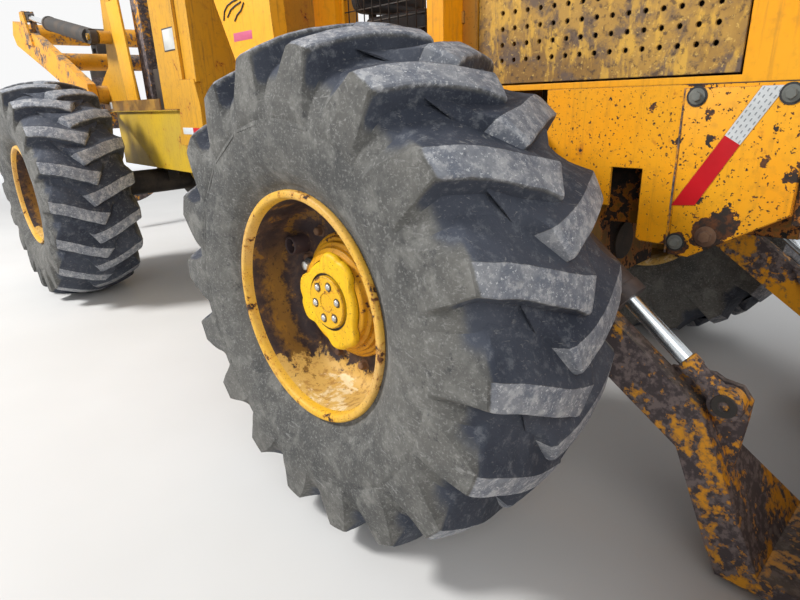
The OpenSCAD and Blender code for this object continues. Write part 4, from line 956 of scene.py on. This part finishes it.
def wheelMesh(name, set):
    shape = Shape()
    steps = 96
    angles = [2 * math.pi * k / steps for k in range(steps)]

    # rings of points for a section, with a radius that may change round the wheel
    def spin(section, finish, reach=None, closeLast=False):
        rings = []
        for radius, out in section:
            ring = []
            for a in angles:
                r = radius if reach is None else radius + reach(a)
                ring.append(shape.work.verts.new((r * math.cos(a), out, r * math.sin(a))))
            rings.append(ring)
        shape.skin(rings, finish, shut=False)
        if closeLast:
            shape.mark([shape.work.faces.new(rings[-1])], finish)

    spin(set["lip"][::-1], finishLip)
    spin(set["dish"], finishBarrel)
    spin(set["drum"], finishDrum)
    spin(set["back"], finishBarrel)
    spin([set["back"][0], (0.0002, 0.0360)], finishBarrel, closeLast=True)
    top, base, fillet = set["plateTop"], set["plateBase"], set["plateFillet"]
    spin([(-0.004, base - 0.001), (0.002, base + 0.002), (0.002, base + 0.006), (-0.001, top - 0.006),
          (-0.006, top - 0.001), (-fillet, top)], finishHub, lambda a: lobedRadius(a, set))
    # the plate's face, from the lobed edge to the round groove of the cover
    inner = set["coverRadius"]
    edge, groove = [], []
    for a in angles:
        for ring, reach in ((edge, lobedRadius(a, set) - fillet), (groove, inner + 0.0075)):
            ring.append(shape.work.verts.new((reach * math.cos(a), top, reach * math.sin(a))))
    shape.skin([edge, groove], finishHub, shut=False)
    spin([(inner + 0.0075, top), (inner + 0.0070, top - 0.006), (inner + 0.0005, top - 0.006)], finishBlack)
    cover = set["coverTop"]
    spin([(inner + 0.0005, top - 0.006), (inner, cover - 0.003), (inner - 0.003, cover), (0.030, cover),
          (0.028, cover - 0.002), (0.0002, cover - 0.002)], finishCover, closeLast=True)
    bmesh.ops.remove_doubles(shape.work, verts=shape.work.verts[:], dist=0.00003)
    for count, start, circle, out, section, sides, finish in set["fittings"]:
        for k in range(count):
            a = math.radians(start + k * 360 / count)
            at = (circle * math.cos(a), out, circle * math.sin(a))
            shape.turned(section, at, (0, 1, 0), sides, finish)
    mesh = shape.mesh(name, 40)
    # how deep, how low and how high in the barrel a point is, for its finish
    places = [vert.co for vert in mesh.vertices]
    putAttributes(mesh, {
        "depth": [p.y / 0.226 for p in places],
        "low": [smooth((-p.z - 0.13) / 0.20) for p in places],
        "high": [smooth((p.z + 0.02) / 0.20) for p in places],
    })
    return mesh


placeAtWheels(wheelMesh("wheelShape", wheel), "wheelPainted_", "wheel_")
print("wheels made")

# side panel: outer face and what is fastened to it, X from the front axle and Z from the ground
panel = {
    "face": 0.450,
    "plate": 0.006,
    "cornerPlate": [(0.660, 1.352), (0.966, 1.352), (0.966, 1.027), (0.726, 0.874), (0.668, 0.874)],
    "bolts": [(0.693, 1.329), (0.918, 1.331), (0.686, 0.914)],
    "rustyBolt": (0.769, 0.943),
    "whiteTape": [(0.850, 1.3515), (0.905, 1.3515), (0.820, 1.203), (0.779, 1.227)],
    "redTape": [(0.779, 1.227), (0.820, 1.203), (0.727, 1.030), (0.661, 1.023)],
    "head": 0.0135, "height": 0.013, "washer": 0.022, "finish": finishBolt,
}


def atFront(outline):
    return [(frontX + x, z) for x, z in outline]


def makePanel(set):
    face = set["face"]
    shape = Shape()
    shape.plate(atFront(set["cornerPlate"]), "y", -face - set["plate"], -face + 0.002, paintPanel, 0.0015)
    top = -face - set["plate"]
    shape.plate(atFront(set["whiteTape"]), "y", top - 0.0008, top + 0.001, finishWhiteTape)
    shape.plate(atFront(set["redTape"]), "y", top - 0.0009, top + 0.001, finishRedTape)
    # rows of grey dashes along the white part
    a, b, c, d = [Vector(p) for p in set["whiteTape"]]
    for row in range(4):
        for k in range(9):
            share, along = (row + 0.5) / 4, (k + 0.15 + 0.3 * (row % 2)) / 9
            start = a.lerp(b, share).lerp(d.lerp(c, share), along)
            stop = a.lerp(b, share).lerp(d.lerp(c, share), along + 0.055)
            way = (stop - start).normalized() * 0.0014
            side = Vector((-way.y, way.x))
            dash = atFront((start + side, stop + side, stop - side, start - side))
            shape.plate(dash, "y", top - 0.0013, top + 0.0002, finishGreyDash)
    # a chipped dark seam along the plate's edge, and a black ring round each bolt
    shape.box((frontX + 0.6545, -face - 0.0010, 0.876), (frontX + 0.6605, -face + 0.001, 1.352), paintArm)
    for x, z in set["bolts"]:
        shape.turned([(0.0275, 0), (0.0275, 0.0012)], (frontX + x, top, z), (0, -1, 0), 24, finishBlack)
    shape.bothSides().piece("cornerPlates", "front", "orange_paint")
    places = [(frontX + x, top, z) for x, z in set["bolts"]]
    bolts("panelBoltsRight", places, (0, -1, 0), set, "front")
    bolts("panelBoltsLeft", [(x, -y, z) for x, y, z in places], (0, 1, 0), set, "front")
    x, z = set["rustyBolt"]
    rusty = set | {"head": 0.017, "height": 0.016, "washer": 0.030, "finish": finishRustBolt}
    bolts("rustyBoltRight", [(frontX + x, top, z)], (0, -1, 0), rusty, "front")
    bolts("rustyBoltLeft", [(frontX + x, -top, z)], (0, 1, 0), rusty, "front")


makePanel(panel)
print("side panels dressed")

# blade cylinder rods: a bright shaft, a collar and tapered head with little paint left, and an eye with a cap
bladeRod = {
    "anchor": (0.120, 1.205), "eye": (0.955, 0.556), "y": 0.670, "start": 0.200, "radius": 0.023,
    # radius and distance back from the eye's middle
    "head": [(0.0230, 0.150), (0.0320, 0.148), (0.0320, 0.116), (0.0285, 0.112), (0.0270, 0.098),
             (0.0300, 0.060), (0.0330, 0.030)],
    "flat": 0.78,
    # radius and distance out from the rod's middle plane
    "eyeSection": [(0.0400, -0.0250), (0.0450, -0.0225), (0.0460, -0.0180), (0.0460, 0.0180),
                   (0.0450, 0.0225), (0.0400, 0.0250)],
    "cap": [(0.0330, 0.0245), (0.0330, 0.0265), (0.0310, 0.0280), (0.0150, 0.0280), (0.0110, 0.0200)],
}


def makeBladeRods(set):
    shape = Shape()
    anchor, eye = [Vector((frontX + set[end][0], -set["y"], set[end][1])) for end in ("anchor", "eye")]
    way = (eye - anchor).normalized()
    reach = (eye - anchor).length
    shape.turned([(set["radius"], set["start"]), (set["radius"], reach - set["head"][0][1])], anchor, way, 32,
                 finishChrome)
    before = len(shape.work.verts)
    shape.turned([(radius, reach - back) for radius, back in set["head"]], anchor, way, 28, paintRodHead)
    shape.work.verts.ensure_lookup_table()
    for vert in shape.work.verts[before:]:
        vert.co.y = -set["y"] + (vert.co.y + set["y"]) * set["flat"]
    shape.turned(set["eyeSection"], eye, (0, 1, 0), 36, paintRodHead)
    shape.turned(set["cap"], eye, (0, -1, 0), 24, finishSteel)
    shape.bothSides().piece("bladeRodsBright", "blade_rods", "chrome_rod", ("blade_rods",))


makeBladeRods(bladeRod)
print("blade rods made")

# what the photo shows along the right side, drawn on both sides: boxes from a low to a high corner, as X from
# the body's axle, Y out and Z
sides = {
    "front": [
        # hinge column of the door with its bracket, and the dark joint above the corner plate
        ((-0.160, 0.448, 1.366), (-0.093, 0.457, 2.030), paintColumn),
        ((-0.212, 0.452, 1.600), (-0.150, 0.462, 1.640), paintColumn),
        ((0.660, 0.4490, 1.3600), (0.968, 0.4508, 1.3625), finishBlack),
        # blank label on the canopy leg
        ((-1.230, 0.7995, 1.617), (-1.066, 0.8008, 1.652), finishPink),
    ],
    "rear": [
        # blank label on the tower, reflector on the foot, and the small label at the deck's end
        ((1.000, 0.5990, 1.672), (1.222, 0.6008, 1.805), finishBlack),
        ((1.008, 0.5992, 1.680), (1.214, 0.6014, 1.797), finishLabel),
        ((1.176, 0.6330, 1.180), (1.322, 0.6354, 1.220), finishWhiteTape),
        ((1.322, 0.6330, 1.180), (1.440, 0.6354, 1.220), finishRedTape),
        ((-0.165, 0.6190, 1.345), (-0.115, 0.6204, 1.392), finishLabel),
        # peeled upright and the dark valve block with its cap between it and the tower
        ((0.345, 0.4500, 1.328), (0.480, 0.5200, 2.100), paintArm),
        ((0.500, 0.3400, 1.328), (0.800, 0.5000, 1.600), finishSteel),
        ((0.530, 0.3600, 1.596), (0.770, 0.4800, 1.632), finishIron),
        ((0.505, 0.3600, 1.628), (0.575, 0.4400, 2.090), finishIron),
    ],
}
# a yellow plate leans against the boom post: its corners in X and Z
leaning = [(0.135, 2.060), (0.365, 2.060), (0.430, 1.394), (0.225, 1.394)]
# hoses rise from the valve block and bend into the tower's wall: X and Y at the block, X at the top, radius
towerWall = 0.860
hoses = [(0.610, 0.38, 0.640, 0.014), (0.650, 0.41, 0.690, 0.014), (0.690, 0.44, 0.760, 0.012),
         (0.735, 0.38, 0.800, 0.015), (0.750, 0.46, 0.770, 0.010)]
# thin wires lie on the canopy leg, as X from the front axle and Z
wires = [[(-1.300, 1.712), (-1.285, 1.748), (-1.252, 1.768), (-1.205, 1.778), (-1.160, 1.782)],
         [(-1.262, 1.722), (-1.225, 1.748), (-1.180, 1.760), (-1.130, 1.768)],
         [(-1.200, 1.700), (-1.172, 1.722), (-1.135, 1.735), (-1.105, 1.762)]]


def makeSides(sets):
    for body, axle in (("front", frontX), ("rear", rearX)):
        shape = Shape()
        for low, high, finish in sets[body]:
            thin = min(high[1] - low[1], high[2] - low[2])
            shape.box((axle + low[0], -high[1], low[2]), (axle + high[0], -low[1], high[2]), finish,
                      min(0.004, thin * 0.2))
        if body == "front":
            for path in wires:
                shape.tube([(axle + x, -0.802, z) for x, z in path], 0.0035, 8, finishBlack)
        else:
            shape.plate([(axle + x, z) for x, z in leaning], "y", -0.614, -0.598, paintLeg, 0.002)
            for x, y, top, radius in hoses:
                path = [(x, 1.620), (x, 1.680), ((x + top) / 2, 1.800), (top, 1.910),
                        (top + (towerWall - top) * 0.35, 1.975), (towerWall, 2.000)]
                shape.tube([(axle + x, -y, z) for x, z in path], radius, 12, finishBlack)
        shape.bothSides().piece("sideFittings_" + body, body, "dark_steel")


makeSides(sides)
print("sides dressed")

# seat: a cushion and a back in the space of the CAD seat, on a ribbed bellows pedestal
seat = {
    "cushion": {"low": (-1.000, -0.240, 1.622), "high": (-0.560, 0.240, 1.740), "up": "z"},
    "back": {"low": (-1.090, -0.240, 1.742), "high": (-0.982, 0.240, 2.300), "up": "x"},
    "crown": 0.016, "pull": 0.012, "channels": (-0.45, 0.0, 0.45), "groove": 0.006, "seam": 0.004,
    "pedestal": {"low": (-0.900, -0.150, 1.242), "high": (-0.650, 0.150, 1.618), "ribs": 7, "rib": 0.014},
    # two angle brackets carry the back from under the cushion: boxes in X and Z, at each Y
    "brackets": [((-1.062, 1.604), (-0.880, 1.624)), ((-1.062, 1.604), (-1.044, 1.900))],
    "bracketY": (-0.110, 0.110), "bracketHalf": 0.020,
}


# a crowned form whose sides pull in between its corners, with sewn channels on top and a seam round it
def cushionMesh(name, part, set):
    low, high = Vector(part["low"]), Vector(part["high"])
    half = (high - low) / 2
    center = (high + low) / 2 + Vector((frontX, 0, 0))
    work = bmesh.new()
    bmesh.ops.create_cube(work, size=2)
    bmesh.ops.subdivide_edges(work, edges=work.edges[:], cuts=44, use_grid_fill=True)
    across, along, up = (0, 1, 2) if part["up"] == "z" else (2, 1, 0)
    for vert in work.verts:
        # the cube's corners and edges are rounded by a high norm
        norm = sum(abs(n) ** 7 for n in vert.co) ** (1 / 7)
        place = vert.co / norm
        u, v, w = place[across], place[along], place[up]
        place[across] *= 1 - set["pull"] / half[across] * (1 - v * v)
        place[along] *= 1 - set["pull"] / half[along] * (1 - u * u)
        rise = max(w, 0.0)
        dent = sum(math.exp(-((u - c) / 0.035) ** 2) for c in set["channels"]) * set["groove"]
        dent += set["seam"] * 1.5 * math.exp(-((max(abs(u), abs(v)) - 0.84) / 0.03) ** 2)
        sink = set["crown"] * (1 - (1 - u * u) * (1 - v * v))
        place[up] -= rise * (sink + dent) / half[up]
        ring = math.exp(-((w - 0.35) / 0.07) ** 2) * set["seam"]
        for axis in (across, along):
            place[axis] *= 1 - ring / half[axis]
        vert.co = center + Vector((place.x * half.x, place.y * half.y, place.z * half.z))
    mesh = bpy.data.meshes.new(name)
    work.to_mesh(mesh)
    work.free()
    mesh.materials.append(finishSeat)
    mesh.polygons.foreach_set("use_smooth", [True] * len(mesh.polygons))
    return mesh


def makeSeat(set):
    for part in ("cushion", "back"):
        mesh = cushionMesh("seat_" + part, set[part], set)
        made = placePiece(mesh, "seat_" + part, "front", ("seat",))
    shape = Shape()
    low, high = set["pedestal"]["low"], set["pedestal"]["high"]
    count = set["pedestal"]["ribs"]
    for k in range(count):
        z = low[2] + (high[2] - low[2]) * k / count
        top = low[2] + (high[2] - low[2]) * (k + 0.86) / count
        inset = set["pedestal"]["rib"] if k % 2 else 0.0
        shape.box((frontX + low[0] + inset, low[1] + inset, z - 0.004),
                  (frontX + high[0] - inset, high[1] - inset, top + 0.010), finishBlack, 0.008)
    half = set["bracketHalf"]
    for y in set["bracketY"]:
        for (x0, z0), (x1, z1) in set["brackets"]:
            shape.box((frontX + x0, y - half, z0), (frontX + x1, y + half, z1), finishSteel, 0.002)
    shape.piece("seatPedestal", "front", "dark_steel", ("seat",))


makeSeat(seat)
print("seat made")

# small round fittings: body, X from that body's axle, Y out, Z, direction, radius profile and finish
capSection = [(1.00, 0.000), (1.00, 0.10), (0.92, 0.16), (0.50, 0.18), (0.46, 0.10)]
lensSection = [(1.00, 0.000), (1.00, 0.05), (0.92, 0.10), (0.60, 0.16), (0.20, 0.19)]
fittings = [
    ("front", 0.300, 0.712, 0.850, (0, -1, 0), 0.031, capSection, finishSteel),
    ("front", 0.120, 0.712, 1.205, (0, -1, 0), 0.020, capSection, finishSteel),
    ("rear", -0.250, 0.757, 1.450, (0, -1, 0), 0.031, capSection, finishSteel),
    ("rear", 0.060, 0.757, 1.840, (0, -1, 0), 0.020, capSection, finishSteel),
    ("front", -0.088, 0.640, 2.782, (1, 0, 0), 0.054, lensSection, finishGlass),
]


def makeFittings(rows):
    for body, axle in (("front", frontX), ("rear", rearX)):
        shape = Shape()
        for owner, x, y, z, direction, radius, section, finish in rows:
            if owner == body:
                scaled = [(radius * a, radius * b) for a, b in section]
                shape.turned(scaled, (axle + x, -y, z), direction, 28, finish)
        shape.bothSides().piece("roundFittings_" + body, body, "dark_steel")


makeFittings(fittings)
print("fittings made")

# the blade's bolted cutting edge: a thin curved strip on the face of the mouldboard, over its full width
cuttingEdge = {
    # the mouldboard's arc: its middle in X and Z, and the radius of its face and of the strip's front
    "middle": (1.9405, 0.412), "face": 0.596, "front": 0.589,
    "low": 0.034, "high": 0.140, "width": 1.340, "steps": 8,
    "boltZ": 0.088, "boltStep": 0.178, "head": 0.017, "height": 0.010, "washer": 0.022,
    "finish": finishRustBolt,
}


def makeCuttingEdge(set):
    middleX, middleZ = set["middle"]

    def onArc(radius, z):
        return frontX + middleX - math.sqrt(radius ** 2 - (z - middleZ) ** 2)

    levels = [set["low"] + (set["high"] - set["low"]) * k / set["steps"] for k in range(set["steps"] + 1)]
    outline = [(onArc(set["face"], z), z) for z in levels]
    outline += [(onArc(set["front"], z), z) for z in levels[::-1]]
    shape = Shape()
    shape.plate(outline, "y", -set["width"], set["width"], finishArmSteel, 0.0015)
    shape.piece("cuttingEdge", "blade", "dark_steel")
    z = set["boltZ"]
    x = onArc(set["front"], z)
    count = int(set["width"] / set["boltStep"])
    places = [(x, k * set["boltStep"], z) for k in range(-count, count + 1)]
    bolts("cuttingEdgeBolts", places, (frontX + middleX - x, 0, middleZ - z), set, "blade")


makeCuttingEdge(cuttingEdge)
print("cutting edge made")

# several meshes become one, and keep their finishes
def joinMeshes(name, meshes):
    parts = []
    for mesh in meshes:
        part = bpy.data.objects.new(mesh.name, mesh)
        bpy.context.scene.collection.objects.link(part)
        parts.append(part)
    chosen = {"active_object": parts[0], "selected_editable_objects": parts, "selected_objects": parts}
    with bpy.context.temp_override(**chosen):
        bpy.ops.object.join()
    joined = parts[0].data
    joined.name = name
    bpy.data.objects.remove(parts[0])
    return joined


# mesh guards between the cab posts, in X from the front axle and Z: squares of wire in a flat rim
guard = {
    "low": (-0.780, 1.500), "high": (-0.240, 2.860), "y": 0.525, "step": 0.050, "wire": 0.0026,
    "rim": 0.020, "rimHalf": 0.005, "gap": 0.010, "behind": 0.004,
}


def makeGuards(set):
    (x0, z0), (x1, z1) = set["low"], set["high"]
    step, rim, gap = set["step"], set["rim"], set["gap"]

    # parallel wires at the given places, each of one length along a direction
    def wiresAt(name, places, length, facing):
        values = {"Length": length, "Radius": set["wire"], "Facing": facing, "Finish": finishSteel}
        return applyTree(pointsObject(name, places), wireRow, values, name)

    for side, hand in ((-1, "right"), (1, "left")):
        shape = Shape()
        y = side * set["y"]
        for (a, b), (c, d) in (((x0, z0), (x0 + rim, z1)), ((x1 - rim, z0), (x1, z1)),
                               ((x0, z0), (x1, z0 + rim)), ((x0, z1 - rim), (x1, z1))):
            shape.box((frontX + a, y - set["rimHalf"], b), (frontX + c, y + set["rimHalf"], d), paintMachine,
                      0.001)
        columns = [frontX + x0 + step * k for k in range(1, int((x1 - x0) / step) + 1)]
        levels = [z0 + step * k for k in range(1, int((z1 - z0) / step) + 1)]
        uprights = [(x, y, (z0 + z1) / 2) for x in columns if x < frontX + x1 - gap]
        across = [(frontX + (x0 + x1) / 2, y - side * set["behind"], z) for z in levels if z < z1 - gap]
        joined = joinMeshes("guardMesh_" + hand, [
            shape.mesh("rim"), wiresAt("uprights", uprights, z1 - z0 - gap, (0, 0, 0)),
            wiresAt("levels", across, x1 - x0 - gap, turnTo((1, 0, 0)))])
        placePiece(joined, "guardMesh_" + hand, "front", ("cab_guards",))


makeGuards(guard)
print("guards made")


def makeFloor():
    f = Finish("paleFloor")
    tone = f.noise(0.8, 4, 0.5)
    x, y, z = f.axes()
    far = f.calc("SQRT", x * x + y * y).step(5.5, 15.0)
    color = f.mix(tone.step(0.3, 0.7), (0.66, 0.65, 0.63), (0.70, 0.69, 0.67))
    # far off, where the lamps don't reach, the floor looks as bright as the background, and lights nothing
    rays = f.node("ShaderNodeLightPath")
    seen = (rays("Is Camera Ray") + rays("Is Glossy Ray") + rays("Is Transmission Ray")).clamp()
    f.done(f.mix(far, color, (0.90, 0.90, 0.90)), 0.9)
    f.put(f.shader.inputs["Emission Color"], f.mix(far * seen, (0.0, 0.0, 0.0), (0.62, 0.62, 0.62)))
    f.shader.inputs["Emission Strength"].default_value = 1.0
    mesh = bpy.data.meshes.new("floor")
    reach = 60
    corners = [(-reach, -reach, 0), (reach, -reach, 0), (reach, reach, 0), (-reach, reach, 0)]
    mesh.from_pydata(corners, [], [(0, 1, 2, 3)])
    mesh.materials.append(f.material)
    floor = bpy.data.objects.new("floor", mesh)
    bpy.context.scene.collection.objects.link(floor)


lamps = {
    "key": {"place": (-3.2, -6.8, 7.2), "aim": (1.0, 0.0, 0.9), "size": 2.2, "power": 1080},
    "fill": {"place": (7.5, -5.0, 4.5), "aim": (1.0, 0.0, 0.8), "size": 6.0, "power": 230},
    "back": {"place": (-2.0, 7.5, 6.0), "aim": (0.0, 0.0, 1.0), "size": 6.0, "power": 230},
}


def makeLights(sets):
    for name, set in sets.items():
        data = bpy.data.lights.new(name, "AREA")
        data.shape = "DISK"
        data.size = set["size"]
        data.energy = set["power"]
        lamp = bpy.data.objects.new(name, data)
        bpy.context.scene.collection.objects.link(lamp)
        lamp.location = set["place"]
        lamp.rotation_euler = (Vector(set["aim"]) - Vector(set["place"])).to_track_quat("-Z", "Y").to_euler()
    world = bpy.data.worlds.new("studio")
    bpy.context.scene.world = world
    world.use_nodes = True
    tree = world.node_tree
    tree.nodes.clear()
    output = tree.nodes.new("ShaderNodeOutputWorld")
    shade = tree.nodes.new("ShaderNodeBackground")
    shade.inputs["Color"].default_value = (0.90, 0.94, 1.0, 1)
    shade.inputs["Strength"].default_value = 0.42
    bright = tree.nodes.new("ShaderNodeBackground")
    bright.inputs["Color"].default_value = (0.95, 0.95, 0.95, 1)
    bright.inputs["Strength"].default_value = 1.0
    ray = tree.nodes.new("ShaderNodeLightPath")
    blend = tree.nodes.new("ShaderNodeMixShader")
    # the camera, glossy metal and glass all see the white background
    white = ray.outputs["Is Camera Ray"]
    for kind in ("Is Glossy Ray", "Is Transmission Ray"):
        both = tree.nodes.new("ShaderNodeMath")
        both.use_clamp = True
        tree.links.new(white, both.inputs[0])
        tree.links.new(ray.outputs[kind], both.inputs[1])
        white = both.outputs[0]
    tree.links.new(white, blend.inputs[0])
    tree.links.new(shade.outputs[0], blend.inputs[1])
    tree.links.new(bright.outputs[0], blend.inputs[2])
    tree.links.new(blend.outputs[0], output.inputs["Surface"])


makeFloor()
makeLights(lamps)
bpy.context.scene.view_settings.view_transform = "Standard"
print("stage lit")
